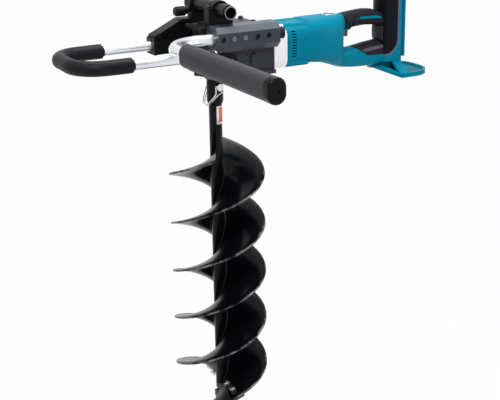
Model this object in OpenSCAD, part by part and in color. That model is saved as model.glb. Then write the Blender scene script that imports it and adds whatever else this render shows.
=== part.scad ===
// Battery earth auger: twin-flight bit, right-angle gear head, D-handle, loop handle and side handle.
// Millimetres, +Z up. The origin is the pilot tip on the bit axis. +X points to the rear handle,
// and -Y is the side that carries the side handle.

/* [Bit] */
// Diameter over the flights
bit_d = 200; // [120:1:240]
// Climb of one flight in a full turn
flight_pitch = 215.4; // [150:0.1:260]
// Upright thickness of a flight plate
flight_t = 4.6; // [3:0.1:7]
// Height where the flights start
flight_z0 = 62; // [56:1:100]
// Height where the flights end
flight_z1 = 594; // [300:1:640]
// Outside diameter of the bit tube
shaft_d = 27; // [22:0.5:34]
// Wall of the bit tube
shaft_wall = 4; // [2:0.5:6]
// Outside diameter of the drive socket
socket_d = 34; // [30:0.5:44]
// Height where the socket reaches full width
socket_z = 695; // [660:1:705]
// Diameter of the spindle shank in the socket
shank_d = 20; // [16:0.5:24]
// Diameter of the lock pin
pin_d = 9; // [6:0.5:12]
// Wire diameter of the pin's bail
bail_d = 2.5; // [1.6:0.1:3.2]
// Thickness of a cutter blade
blade_t = 5; // [3:0.5:7]

/* [Gear head] */
// Height of the underside of the gear housing
head_z = 752; // [740:1:780]
// Height of the housing from underside to cover seat
head_h = 93; // [90:1:110]
// Half width of the lower housing block
head_hw = 60; // [54:1:70]
// Rear face of the gear housing
head_x1 = 106; // [104:1:112]
// Length of the bare neck case
neck_len = 37; // [37:0.5:45]
// Module of the motor stage teeth
mod_motor = 1; // [0.9:0.05:1.1]
// Module of the idler stage teeth
mod_idler = 1.25; // [1.15:0.05:1.3]
// Pitch radius of the bevel ring gear
ring_r = 30; // [28:0.5:31]
// Rise of the bevel pinion axis over the motor axis
lay_rise = 12; // [10:0.5:14]

/* [Motor case and rear handle] */
// Outer diameter of the stator
stator_d = 64; // [56:1:66]
// Length of the stator
stator_len = 50; // [40:1:54]
// Wall of the moulded case
case_wall = 3; // [2.5:0.1:4]
// Thickness of the soft grip layer
soft_t = 2.4; // [1.6:0.1:3.2]
// Place of the battery column behind the hand gap
column_x = 405; // [400:1:420]
// Half width of the battery column
column_hw = 27; // [25:1:31]
// Height of the column top
column_z1 = 938; // [900:1:960]
// Height of the foot plate's top
foot_z = 711; // [700:1:716]
// Half width of the foot plate
foot_hw = 67; // [60:1:76]

/* [Handles] */
// Diameter of the side handle pipe
pipe_d = 25; // [22:0.5:28]
// Height of the side handle pipe
pipe_z = 832; // [830:0.5:838]
// Sideways place of the pipe in its sleeve
pipe_y = -60; // [-64:0.5:-58]
// Bend radius of the side handle pipe
pipe_bend = 78; // [60:1:90]
// Front reach of the side handle
pipe_reach = 140; // [135:1:160]
// Length of the side grip
grip_len = 336; // [120:1:360]
// Height of the oval side grip
grip_h = 45; // [38:0.5:50]
// Width of the oval side grip
grip_w = 34; // [31:0.5:40]
// Diameter of the loop tube
loop_d = 20; // [18:0.5:22]
// Half spacing of the loop legs
loop_y = 78; // [76:0.5:84]
// Height of the loop tube
loop_z = 806; // [800:0.5:807]
// Front reach of the loop's centre line
loop_reach = 313; // [260:1:340]
// Corner radius of the loop
loop_bend = 55; // [45:1:65]
// Outer diameter of the loop foam
foam_d = 29.5; // [26:0.5:32]
// Pitch of the holes along the pipe sleeve
hole_pitch = 25; // [22:0.5:27]
// Outer diameter of the cross tube
cross_d = 26; // [24:0.5:28]
// Bore of the cross tube
cross_bore = 22; // [18:0.5:23]
// Length of the cross tube
cross_len = 156; // [140:1:170]

/* [Fits] */
// Radial gap of a fixed seat
seat_gap = 0.05; // [0.02:0.01:0.1]
// Radial gap of a turning fit
run_gap = 0.05; // [0.03:0.01:0.1]
// Radial gap of a sliding fit
slide_gap = 0.3; // [0.2:0.05:0.5]

/* [Hidden] */
$fn = 48;
shaft_r = shaft_d / 2;
shaft_ri = shaft_r - shaft_wall;
socket_r = socket_d / 2;
socket_z1 = head_z - 10;
shank_r = shank_d / 2;
pin_r = pin_d / 2;
pin_z = socket_z1 - 15;
pin_head_y = -socket_r - 4.2;
motor_z = head_z + 46;
lay_z = motor_z + lay_rise;
neck_x1 = head_x1 + neck_len;
head_z1 = head_z + head_h;
cover_z1 = head_z1 + 7;
case_x0 = neck_x1;
step_deg = 12;
flight_deg = (flight_z1 - flight_z0) / flight_pitch * 360;
flight_n = ceil(flight_deg / step_deg);
phi_0 = -826.9365;
phi_top = phi_0 + flight_deg;
flight_ri = (shaft_r + seat_gap) / cos(step_deg / 2);
bevel_z = 10;
ring_z = 30;
barrel_ri = ring_r + 5;
barrel_r = barrel_ri + 5;
t_motor = 12;
t_idler_big = 36;
t_idler_small = 14;
t_lay = 28;
a_motor = mod_motor * (t_motor + t_idler_big) / 2;
a_idler = mod_idler * (t_idler_small + t_lay) / 2;
idler_dz = (a_motor * a_motor - a_idler * a_idler + lay_rise * lay_rise) / (2 * lay_rise);
idler_y = sqrt(a_motor * a_motor - idler_dz * idler_dz);
idler_z = motor_z + idler_dz;
gear_x = head_x1 - 2;
idler_x = head_x1 + 14;
sleeve_x0 = -32;
sleeve_y0 = pipe_y - 25;
sleeve_y1 = pipe_y + 25;
upper_hw = -sleeve_y1;
sleeve_z1 = pipe_z + 26;
sleeve_z0 = pipe_z - 25;
block_z1 = sleeve_z0;
pipe_r = pipe_d / 2;
pipe_end = head_x1 + 6;
grip_y0 = pipe_y - pipe_bend - 32;
grip_y1 = grip_y0 - grip_len;
hole_z = pipe_z + 2;
hole_x0 = -20.5;
cross_r = cross_d / 2;
cross_z = cover_z1 + 32;
cross_skin = 1.4;
cross_o = cross_r + cross_skin;
bracket_x0 = -101;
bracket_y0 = head_hw + 0.2;
bracket_y1 = loop_y + loop_d / 2 + 6;
leg_end = sleeve_x0 - 4;
foam_x = -211;
stator_x0 = neck_x1 + 29;
stator_x1 = stator_x0 + stator_len;
rear_bearing_x = stator_x1 + 16;
hand_len = 115;
case_x1 = column_x - hand_len;

module cz(x, y, z0, z1, r) {
    translate([x, y, z0]) cylinder(h = z1 - z0, r = r);
}

module cx(x0, x1, y, z, r) {
    translate([x0, y, z]) rotate([0, 90, 0]) cylinder(h = x1 - x0, r = r);
}

module cy(x, y0, y1, z, r) {
    translate([x, y0, z]) rotate([-90, 0, 0]) cylinder(h = y1 - y0, r = r);
}

module box(x0, x1, y0, y1, z0, z1) {
    translate([x0, y0, z0]) cube([x1 - x0, y1 - y0, z1 - z0]);
}

// A rectangle with round corners, centred
module rrect(w, h, r) {
    square([w - 2 * r, h], center = true);
    square([w, h - 2 * r], center = true);
    for (i = [-1, 1]) for (j = [-1, 1]) translate([i * (w / 2 - r), j * (h / 2 - r)]) circle(r);
}

// Extrudes a section drawn in Y and Z along X
module along_x(x0, x1) {
    translate([x0, 0, 0]) rotate([90, 0, 90]) linear_extrude(x1 - x0) children();
}

// Extrudes a section drawn in X and Z along -Y from y1 down to y0
module along_y(y0, y1) {
    translate([0, y1, 0]) rotate([90, 0, 0]) linear_extrude(y1 - y0) children();
}

module hex_x(x0, x1, y, z, af) {
    translate([x0, y, z]) rotate([0, 90, 0]) cylinder(h = x1 - x0, r = af / sqrt(3), $fn = 6);
}

module hex_z(x, y, z0, z1, af) {
    translate([x, y, z0]) cylinder(h = z1 - z0, r = af / sqrt(3), $fn = 6);
}

// Socket-head screw along -Y: head face at y0, head depth hd, tip at y1
module screw_y(x, y0, y1, z, r, hr, hd) {
    difference() {
        union() {
            cy(x, y0, y0 + hd, z, hr);
            cy(x, y0 + hd, y1, z, r);
        }
        translate([x, y0 - 1, z]) rotate([-90, 0, 0]) cylinder(h = hd * 0.6 + 1, r = r * 0.95, $fn = 6);
    }
}

// Socket-head screw along -Z: head top at z1
module screw_z(x, y, z0, z1, r, hr, hd) {
    difference() {
        union() {
            cz(x, y, z1 - hd, z1, hr);
            cz(x, y, z0, z1 - hd, r);
        }
        translate([x, y, z1 - hd * 0.6]) cylinder(h = hd, r = r * 0.95, $fn = 6);
    }
}

// One helical plate from angle a0 to a1 between two radii, cut off square at both ends
module helix_plate(ri, ro, a0, a1, n, drop, t) {
    a = [for (i = [0:n]) a0 + (a1 - a0) * i / n];
    z = [for (i = [0:n]) flight_z0 + (a[i] - phi_0) / 360 * flight_pitch - drop];
    pts = [for (i = [0:n]) for (q = [[ri, -t / 2], [ro, -t / 2], [ro, t / 2], [ri, t / 2]])
        [q[0] * cos(a[i]), q[0] * sin(a[i]), z[i] + q[1]]];
    side = [for (i = [0:n - 1]) for (k = [0:3]) for (f = [0, 1])
        f == 0 ? [4 * i + k, 4 * i + 4 + k, 4 * i + (k + 1) % 4]
               : [4 * i + (k + 1) % 4, 4 * i + 4 + k, 4 * i + 4 + (k + 1) % 4]];
    polyhedron(pts, concat([[0, 1, 2], [0, 2, 3]], side,
        [[4 * n + 2, 4 * n + 1, 4 * n], [4 * n + 3, 4 * n + 2, 4 * n]]));
}

bolt_r = 4;
bolt_rad = [0.4 * bit_d / 2, 0.72 * bit_d / 2];
bolt_lead = 10;

// Places things square to the flight face at the blade bolts
module at_blade_bolts() {
    for (r = bolt_rad) rotate([0, 0, phi_0 + bolt_lead])
        translate([r, 0, flight_z0 + bolt_lead / 360 * flight_pitch])
        rotate([atan(flight_pitch / (2 * PI * r)), 0, 0]) children();
}

module flight() {
    difference() {
        helix_plate(flight_ri, bit_d / 2, phi_0, phi_top, flight_n, 0, flight_t);
        at_blade_bolts() translate([0, 0, -8]) cylinder(h = 16, r = bolt_r + slide_gap);
    }
}

// Serrated cutter that hangs under the flight's lower end and reaches ahead of it
blade_lead = 24;
blade_back = 19;
blade_tooth = 6;
blade_n = 4;
blade_m = 10;

module blade() {
    ri = shaft_r + 6.5;
    ro = bit_d / 2 - 1;
    top = flight_t / 2 + seat_gap;
    pts = [for (s = [0, 1]) for (i = [0:blade_m]) for (j = [0:blade_n])
        let (r = ri + (ro - ri) * i / blade_m,
            lead = -blade_lead - blade_tooth * (i % 2),
            a = phi_0 + lead + (blade_back - lead) * j / blade_n)
        [r * cos(a), r * sin(a), flight_z0 + (a - phi_0) / 360 * flight_pitch - top - blade_t * s]];
    w = blade_n + 1;
    c = (blade_m + 1) * w;
    function v(s, i, j) = s * c + i * w + j;
    grid = [for (i = [0:blade_m - 1]) for (j = [0:blade_n - 1]) for (f = [0:3])
        f == 0 ? [v(0, i, j), v(0, i, j + 1), v(0, i + 1, j + 1)] :
        f == 1 ? [v(0, i, j), v(0, i + 1, j + 1), v(0, i + 1, j)] :
        f == 2 ? [v(1, i, j), v(1, i + 1, j + 1), v(1, i, j + 1)] :
            [v(1, i, j), v(1, i + 1, j), v(1, i + 1, j + 1)]];
    rim = [for (j = [0:blade_n - 1]) for (f = [0:3])
        f == 0 ? [v(0, 0, j), v(1, 0, j + 1), v(0, 0, j + 1)] :
        f == 1 ? [v(0, 0, j), v(1, 0, j), v(1, 0, j + 1)] :
        f == 2 ? [v(0, blade_m, j), v(0, blade_m, j + 1), v(1, blade_m, j + 1)] :
            [v(0, blade_m, j), v(1, blade_m, j + 1), v(1, blade_m, j)]];
    ends = [for (i = [0:blade_m - 1]) for (f = [0:3])
        f == 0 ? [v(0, i, 0), v(0, i + 1, 0), v(1, i + 1, 0)] :
        f == 1 ? [v(0, i, 0), v(1, i + 1, 0), v(1, i, 0)] :
        f == 2 ? [v(0, i, blade_n), v(1, i + 1, blade_n), v(0, i + 1, blade_n)] :
            [v(0, i, blade_n), v(1, i, blade_n), v(1, i + 1, blade_n)]];
    difference() {
        polyhedron(pts, concat(grid, rim, ends));
        at_blade_bolts() translate([0, 0, -20]) cylinder(h = 30, r = bolt_r + slide_gap);
    }
}

module bit_shaft() {
    color("dimgray") difference() {
        union() {
            cz(0, 0, flight_z0 - 4, socket_z - 7, shaft_r);
            translate([0, 0, socket_z - 8]) cylinder(h = 8, r1 = shaft_r, r2 = socket_r);
            cz(0, 0, socket_z, socket_z1, socket_r);
        }
        cz(0, 0, flight_z0 - 5, socket_z - 12, shaft_ri);
        cz(0, 0, socket_z + 4, socket_z1 + 1, shank_r + seat_gap);
        cy(0, -socket_r - 1, socket_r + 1, pin_z, pin_r + seat_gap);
    }
}

module flight_a() {
    color("dimgray") flight();
}

module flight_b() {
    color("dimgray") rotate([0, 0, 180]) flight();
}

module cutter_blades() {
    color("gray") for (a = [0, 180]) rotate([0, 0, a]) blade();
}

module blade_bolts() {
    head = flight_t / 2 + blade_t + 1.2;
    color("silver") for (a = [0, 180]) rotate([0, 0, a]) at_blade_bolts() union() {
        translate([0, 0, -head - 5]) cylinder(h = 5, r = 7.2, $fn = 6);
        translate([0, 0, -head]) cylinder(h = head + flight_t / 2 + 8, r = bolt_r);
        translate([0, 0, flight_t / 2 + 0.6]) cylinder(h = 6, r = 7.2, $fn = 6);
    }
}

module pilot_point() {
    z = flight_z0 - 4;
    color("gray") union() {
        cz(0, 0, z - 12, z, shaft_r);
        cz(0, 0, z, z + 22, shaft_ri - seat_gap);
        along_y(-4, 4) polygon([[-10, z - 11], [-10, z - 17], [-17, z - 17], [-17, z - 32], [-9, z - 36],
            [0, 0], [9, z - 36], [17, z - 32], [17, z - 17], [10, z - 17], [10, z - 11]]);
    }
}

module lock_pin() {
    color("silver") difference() {
        union() {
            cy(0, pin_head_y, socket_r + 3, pin_z, pin_r);
            cy(0, socket_r + 3, pin_tip_y, pin_z, pin_r - 1.5);
            cy(0, pin_head_y - 5, pin_head_y, pin_z, 7.6);
        }
        bail_frame() cylinder(h = 40, r = bail_d / 2 + 0.15, center = true);
    }
}

// Bail frame: local Z is the swing axis through the pin head, Y runs along the pin, X hangs down
bail_tilt = 30;
module bail_frame() {
    translate([0, pin_head_y - 2.5, pin_z]) rotate([0, 90 + bail_tilt, 0]) children();
}

// Wire path in the bail frame, one side: across the head, round the socket, behind the pin tip
bail_u = 2 * socket_r + 14.2;
pin_tip_y = bail_u - bail_d / 2 + pin_head_y - 2.05;
bail_path = [[0, 0, 4.5], [0, 0, 8.4], [1.5, -0.6, 9.6], [5, -1.5, 9.4], [10, -2, 6], [15, -1.5, 3],
    [23, 1.5, 1.7], [33, 7, 1.7], [40, 13.5, 1.7], [43.5, 21, 1.7], [42.5, 29, 1.7],
    [36, bail_u - 9.5, 1.9], [24, bail_u - 3, 2.3], [10, bail_u + 0.5, 2.8], [0, bail_u + 1.2, 2.8],
    [-4, bail_u + 1.2, 2]];
bail_half = [for (i = [0:len(bail_path) - 1]) bail_path[i]];
bail_line = concat(bail_half, [[-5.6, bail_u + 1.2, 0]],
    [for (i = [len(bail_half) - 1:-1:0]) [bail_half[i][0], bail_half[i][1], -bail_half[i][2]]]);

function unit(a) = a / norm(a);

// Round wire swept along a list of points
module wire(p, r, m) {
    n = len(p);
    t = [for (i = [0:n - 1]) unit(p[min(i + 1, n - 1)] - p[max(i - 1, 0)])];
    u = [for (i = [0:n - 1]) unit(cross(t[i], abs(t[i][2]) > 0.8 ? [1, 0.3, 0] : [0.1, 0.2, 1]))];
    pts = [for (i = [0:n - 1]) for (k = [0:m - 1])
        p[i] + r * (cos(360 * k / m) * u[i] + sin(360 * k / m) * cross(t[i], u[i]))];
    turn = [for (i = [0:n - 2]) let (d = [for (k = [0:m - 1])
        norm(pts[i * m] - pts[(i + 1) * m + k])]) search(min(d), d)[0]];
    off = [for (i = 0, s = 0; i < n; s = s + (i < n - 1 ? turn[i] : 0), i = i + 1) s];
    function q(i, k) = i * m + (k + off[i]) % m;
    side = [for (i = [0:n - 2]) for (k = [0:m - 1]) for (f = [0, 1])
        f == 0 ? [q(i, k), q(i, k + 1), q(i + 1, k)] : [q(i, k + 1), q(i + 1, k + 1), q(i + 1, k)]];
    polyhedron(pts, concat([for (k = [1:m - 2]) [q(0, 0), q(0, k + 1), q(0, k)]], side,
        [for (k = [1:m - 2]) [q(n - 1, 0), q(n - 1, k), q(n - 1, k + 1)]]));
}

module bail_wire() {
    color("silver") bail_frame() wire(bail_line, bail_d / 2, 8);
}

bear_lo = [head_z + 6, head_z + 18, 21];
bear_hi = [head_z1 - 18, head_z1 - 9, 16];
flange_z = lay_z - 22;

module spindle() {
    color("silver") difference() {
        union() {
            cz(0, 0, socket_z + 5, flange_z, shank_r);
            cz(0, 0, bear_lo[1] + 1, flange_z, 15);
            cz(0, 0, flange_z, lay_z - 5, shank_r);
            cz(0, 0, lay_z - 6, bear_hi[1] + 2, 7.5);
        }
        cy(0, -shank_r - 1, shank_r + 1, pin_z, pin_r + seat_gap);
    }
}

module dust_collar() {
    color("black") difference() {
        cz(0, 0, socket_z1 + 1, head_z - 1.5, 21);
        cz(0, 0, socket_z1, head_z, shank_r + seat_gap);
    }
}

// Straight bevel profile: trapezoid teeth on a root circle
module bevel_profile(z, rr, rt, wr, wt, turn) {
    polygon([for (i = [0:z - 1]) for (q = [[rr, -wr], [rt, -wt], [rt, wt], [rr, wr]])
        let (a = 360 / z * i + turn + atan(q[1] / q[0])) [q[0] * cos(a), q[0] * sin(a)]]);
}

module ring_gear() {
    k = ring_r / 30;
    top = 6 * k;
    deep = flange_z - lay_z;
    color("gray") difference() {
        intersection() {
            translate([0, 0, flange_z]) linear_extrude(-deep - top, scale = top / -deep)
                scale(-deep / (10 * k)) bevel_profile(ring_z, 25.4 * k, 34.2 * k, 1.6 * k, 0.95 * k, 180 / ring_z);
            cz(0, 0, flange_z, lay_z, 33.5 * k);
        }
        cz(0, 0, flange_z - 1, lay_z, shank_r + seat_gap);
    }
}

module ring(x0, x1, y, z, ro, ri) {
    difference() {
        cx(x0, x1, y, z, ro);
        cx(x0 - 1, x1 + 1, y, z, ri);
    }
}

module spindle_bearings() {
    color("silver") {
        difference() {
            cz(0, 0, bear_lo[0], bear_lo[1], bear_lo[2] - seat_gap);
            cz(0, 0, bear_lo[0] - 1, bear_lo[1] + 1, shank_r + run_gap);
        }
        difference() {
            cz(0, 0, bear_hi[0], bear_hi[1], bear_hi[2] - seat_gap);
            cz(0, 0, bear_hi[0] - 1, bear_hi[1] + 1, 7.5 + run_gap);
        }
    }
}

module oil_seal() {
    color("black") difference() {
        cz(0, 0, head_z, bear_lo[0] - 0.5, 16 - seat_gap);
        cz(0, 0, head_z - 1, bear_lo[0], shank_r + run_gap);
    }
}

// Involute tooth outline with thinned flanks
function inv(r, rb) = r <= rb ? 0 : (sqrt(r * r / (rb * rb) - 1) * 180 / PI - acos(rb / r));
module spur(m, z, thin, turn) {
    rp = m * z / 2;
    rb = rp * cos(20);
    ra = rp + 0.75 * m;
    rr = rp - 1.05 * m;
    half = 90 / z - thin / rp * 180 / PI + inv(rp, rb);
    rs = [rr, max(rb, rr + 0.01), (max(rb, rr) + rp) / 2, rp, (rp + ra) / 2, ra];
    polygon([for (i = [0:z - 1]) for (s = [-1, 1]) for (k = [0:5])
        let (j = s < 0 ? k : 5 - k, a = 360 / z * i + turn + s * (half - inv(rs[j], rb)))
        [rs[j] * cos(a), rs[j] * sin(a)]]);
}

function mesh_turn(dir, zi, ti, zj) = dir + 180 - zi / zj * (ti - dir) + 180 / zj;
lay_to_idler = atan2(idler_z - lay_z, idler_y);
turn_lay = 0;
turn_small = mesh_turn(lay_to_idler, t_lay, turn_lay, t_idler_small);
idler_to_motor = atan2(motor_z - idler_z, -idler_y);
turn_big = 0;
turn_motor = mesh_turn(idler_to_motor, t_idler_big, turn_big, t_motor);
thin = 0.1;
bear_lay = [[38, 48, 15, 6], [head_x1 - 16, head_x1 - 6, 13, 6]];
bear_idler = [[head_x1 - 13, head_x1 - 7], [head_x1 + 24.5, head_x1 + 30.5]];
bear_motor = [[neck_x1 - 8.5, neck_x1 - 1.5], [rear_bearing_x, rear_bearing_x + 7]];

module bevel_shaft() {
    k = ring_r / 30;
    x0 = ring_r * 0.66;
    x1 = ring_r * 1.03;
    color("gray") union() {
        translate([x1, 0, lay_z]) rotate([90, 0, 90]) mirror([0, 0, 1])
            linear_extrude(x1 - x0, scale = x0 / x1) scale(x1 / ring_r)
            bevel_profile(bevel_z, 8.2 * k, 11.4 * k, 1.6 * k, 0.62 * k, -90);
        cx(x1 - 0.5, 37, 0, lay_z, 8);
        cx(x1 - 0.5, gear_x, 0, lay_z, 6);
        cx(gear_x - 0.5, gear_x + 11.5, 0, lay_z, 5);
    }
}

module lay_gear() {
    color("gray") difference() {
        translate([0, 0, lay_z]) along_x(gear_x, gear_x + 10) spur(mod_idler, t_lay, thin, turn_lay);
        cx(gear_x - 1, gear_x + 11, 0, lay_z, 5 + seat_gap);
    }
}

module lay_bearings() {
    color("silver") for (b = bear_lay) ring(b[0], b[1], 0, lay_z, b[2] - seat_gap, b[3] + run_gap);
}

module idler_shaft() {
    color("gray") union() {
        cx(bear_idler[0][0] + 0.5, bear_idler[1][1] - 0.5, idler_y, idler_z, 4);
        translate([0, idler_y, idler_z]) along_x(gear_x - 1, gear_x + 11)
            spur(mod_idler, t_idler_small, thin, turn_small);
    }
}

module idler_gear() {
    color("gray") difference() {
        translate([0, idler_y, idler_z]) along_x(idler_x, idler_x + 8)
            spur(mod_motor, t_idler_big, thin, turn_big);
        cx(idler_x - 1, idler_x + 9, idler_y, idler_z, 4 + seat_gap);
    }
}

module idler_bearings() {
    color("silver") for (b = bear_idler) ring(b[0], b[1], idler_y, idler_z, 9.5 - seat_gap, 4 + run_gap);
}

module rotor_shaft() {
    color("silver") union() {
        cx(idler_x - 3, rear_bearing_x + 7.5, 0, motor_z, 4);
        translate([0, 0, motor_z]) along_x(idler_x - 1, idler_x + 9) spur(mod_motor, t_motor, thin, turn_motor);
    }
}

module rotor_core() {
    color("gray") ring(stator_x0 + 4, stator_x1 - 4, 0, motor_z, stator_d * 0.27, 4 + seat_gap);
}

fan_x0 = neck_x1 + 7;
module cooling_fan() {
    color("black") union() {
        ring(fan_x0, fan_x0 + 2, 0, motor_z, 31, 4 + seat_gap);
        ring(fan_x0, fan_x0 + 11, 0, motor_z, 8, 4 + seat_gap);
        for (a = [0:36:359]) translate([0, 0, motor_z]) rotate([a, 0, 0])
            box(fan_x0 + 1.5, fan_x0 + 11, -0.9, 0.9, 14, 30.5);
    }
}

module stator() {
    r = stator_d * 0.27 + 0.6;
    color("gray") difference() {
        cx(stator_x0, stator_x1, 0, motor_z, stator_d / 2);
        cx(stator_x0 - 1, stator_x1 + 1, 0, motor_z, r);
        for (a = [0:60:359]) translate([0, 0, motor_z]) rotate([a, 0, 0])
            box(stator_x0 - 1, stator_x1 + 1, -4.5, 4.5, r - 2, stator_d / 2 - 5);
    }
}

module motor_bearings() {
    color("silver") for (b = bear_motor) ring(b[0], b[1], 0, motor_z, 11 - seat_gap, 4 + run_gap);
}

long_bolt_yz = [[-36, head_z + 10], [36, head_z + 10], [-26, head_z1 - 10], [26, head_z1 - 10]];
long_bolt_x = neck_x1 + 47;
boss_x = -barrel_ri - 4;
cover_xy = [[boss_x, 0], [76, -27], [76, 27]];

module barrel_outline() {
    circle(barrel_r);
    translate([boss_x, 0]) circle(6);
}

module gear_housing() {
    color("black") difference() {
        union() {
            translate([0, 0, head_z]) linear_extrude(head_h) barrel_outline();
            translate([0, 0, head_z]) linear_extrude(block_z1 - head_z) union() {
                translate([(sleeve_x0 + head_x1) / 2, 0]) rrect(head_x1 - sleeve_x0, 2 * head_hw, 8);
                translate([head_x1 - 20, 0]) square([40, 2 * head_hw], center = true);
            }
            box(-10, head_x1, -upper_hw, upper_hw, block_z1 - 1, head_z1);
            box(58, head_x1, -head_hw - 6, head_hw + 6, head_z, head_z + 8);
        }
        cz(0, 0, flange_z - 2, head_z1 + 1, barrel_ri);
        cz(0, 0, bear_lo[0], flange_z - 1, bear_lo[2]);
        cz(0, 0, head_z - 1, bear_lo[0] + 1, 16);
        for (b = bear_lay) cx(b[0] - 8, b[1], 0, lay_z, b[2]);
        cx(40, head_x1 - 10, 0, lay_z, 8.6);
        cx(head_x1 - 8, head_x1 + 1, 0, lay_z, 20.5);
        cx(bear_idler[0][0], head_x1 + 1, idler_y, idler_z, 9.5);
        cx(bear_idler[0][1] + 1, head_x1 + 1, idler_y, idler_z, 11);
        box(48, 54, -head_hw - 1, -head_hw + 3, head_z + 25, head_z + 48);
        box(40, 62, -head_hw - 1, -head_hw + 3, head_z + 42, head_z + 48);
        for (p = long_bolt_yz) cx(head_x1 - 14, head_x1 + 1, p[0], p[1], 3);
        for (p = cover_xy) cz(p[0], p[1], head_z1 - 8, head_z1 + 1, 2.5);
        for (x = bracket_bolt_x) for (z = bracket_bolt_z) for (s = [-1, 1])
            cy(x, s * head_hw - 9, s * head_hw + 9, z, 3);
    }
}

saddle_y = [-34, -14];
saddle_mid = (saddle_y[0] + saddle_y[1]) / 2;
strap_x = cross_o + 12;
strap_hole = cross_o + 7.5;
module gear_cover() {
    color("black") difference() {
        union() {
            translate([0, 0, head_z1]) linear_extrude(7) union() {
                barrel_outline();
                translate([20, 0]) square([130, 2 * upper_hw], center = true);
            }
            cz(0, 0, bear_hi[0], head_z1 + 1, 21);
            box(-strap_x, strap_x, saddle_y[0], saddle_y[1], cover_z1 - 1, cross_z);
        }
        cz(0, 0, bear_hi[0] - 1, bear_hi[1], bear_hi[2]);
        cz(0, 0, bear_hi[1] - 1, bear_hi[1] + 4, 8.5);
        cy(0, saddle_y[0] - 1, saddle_y[1] + 1, cross_z, cross_o + seat_gap);
        for (p = cover_xy) cz(p[0], p[1], head_z1 - 1, cover_z1 + 1, 3.2);
        for (s = [-1, 1]) cz(s * strap_hole, saddle_mid, cross_z - 16, cross_z + 1, 2.1);
    }
}

module cover_screws() {
    color("silver") for (p = cover_xy) screw_z(p[0], p[1], head_z1 - 7, cover_z1 + 5, 2.4, 5, 5);
}

neck_zc = head_z + 43;
module neck_case() {
    color("silver") difference() {
        union() {
            translate([0, 0, neck_zc]) along_x(head_x1, neck_x1) rrect(96, 80, 18);
            for (p = long_bolt_yz) cx(head_x1, neck_x1, p[0], p[1], 7);
        }
        cx(head_x1 - 1, idler_x - 2.5, 0, lay_z, 20.5);
        cx(head_x1 - 1, idler_x, idler_y, idler_z, 11);
        cx(idler_x - 3.5, idler_x + 10, idler_y, idler_z, 20.5);
        cx(idler_x - 4, idler_x + 10, 0, motor_z, 8.5);
        cx(idler_x + 9, bear_idler[1][1] + 0.5, idler_y, idler_z, 9.5);
        cx(idler_x + 9, neck_x1 + 1, 0, motor_z, 7.6);
        cx(bear_motor[0][0], neck_x1 + 1, 0, motor_z, 11);
        for (p = long_bolt_yz) cx(head_x1 - 1, neck_x1 + 1, p[0], p[1], 3.2);
    }
}

module long_bolts() {
    color("silver") for (p = long_bolt_yz) difference() {
        union() {
            cx(head_x1 - 12, long_bolt_x, p[0], p[1], 2.8);
            cx(long_bolt_x, long_bolt_x + 5, p[0], p[1], 4.4);
        }
        hex_x(long_bolt_x + 2, long_bolt_x + 6, p[0], p[1], 4.4);
    }
}

hole_x = [for (i = [0:4]) hole_x0 + i * hole_pitch];

module pipe_sleeve() {
    color("black") difference() {
        along_x(sleeve_x0, head_x1) polygon([[sleeve_y0, sleeve_z0 + 13], [sleeve_y0, sleeve_z1 - 12],
            [sleeve_y0 + 10, sleeve_z1], [sleeve_y1 - 10, sleeve_z1], [sleeve_y1 - 0.2, sleeve_z1 - 9],
            [sleeve_y1 - 0.2, sleeve_z0], [sleeve_y0 + 13, sleeve_z0]]);
        cx(sleeve_x0 - 1, head_x1 + 1, pipe_y, pipe_z, pipe_r + seat_gap);
        cz(0, 0, sleeve_z0 - 1, sleeve_z1 + 1, barrel_r + slide_gap);
        for (x = hole_x) cy(x, sleeve_y0 - 1, sleeve_y0 + 6, hole_z, 5.75);
        for (x = hole_x) cy(x, sleeve_y0 + 5, pipe_y, hole_z, 3.3);
    }
}

// Bend of the side pipe, from travel along -X to travel along -Y
bend_x = -pipe_reach + pipe_bend;
bend_y = pipe_y - pipe_bend;
module side_pipe() {
    ri = pipe_r - 2.5;
    color("silver") difference() {
        union() {
            cx(bend_x, pipe_end, pipe_y, pipe_z, pipe_r);
            translate([bend_x, bend_y, pipe_z]) rotate([0, 0, 90]) rotate_extrude(angle = 90)
                translate([pipe_bend, 0]) circle(pipe_r);
            cy(-pipe_reach, grip_y1 + 8, bend_y, pipe_z, pipe_r);
        }
        cx(bend_x, pipe_end + 1, pipe_y, pipe_z, ri);
        translate([bend_x, bend_y, pipe_z]) rotate([0, 0, 90]) rotate_extrude(angle = 90)
            translate([pipe_bend, 0]) circle(ri);
        cy(-pipe_reach, grip_y1 + 7, bend_y, pipe_z, ri);
        for (x = [hole_x[1], hole_x[2]]) cy(x, pipe_y - pipe_r - 1, pipe_y - 5, hole_z, 2.6);
    }
}

// Oval section of the side grip
module grip_oval(w, h) {
    translate([0, (h - w) / 2]) circle(w / 2);
    translate([0, -(h - w) / 2]) circle(w / 2);
    square([w, h - w], center = true);
}

module side_grip() {
    color("#3c3d40") translate([-pipe_reach, 0, pipe_z]) difference() {
        union() {
            along_y(grip_y1 + 16, grip_y0 - 3) grip_oval(grip_w, grip_h);
            along_y(grip_y0 - 3.5, grip_y0) grip_oval(grip_w - 5, grip_h - 5);
            along_y(grip_y1 + 12, grip_y1 + 17) grip_oval(grip_w - 4, grip_h - 4);
        }
        cy(0, grip_y1, grip_y0 + 1, 0, pipe_r + seat_gap);
    }
}

module grip_cap() {
    color("#2b2c2e") translate([-pipe_reach, 0, pipe_z]) difference() {
        union() {
            along_y(grip_y1 + 4, grip_y1 + 12) grip_oval(grip_w, grip_h);
            along_y(grip_y1, grip_y1 + 4.5) grip_oval(grip_w - 6, grip_h - 6);
        }
        cy(0, grip_y1 + 7.5, grip_y0, 0, pipe_r + seat_gap);
    }
}

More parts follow.
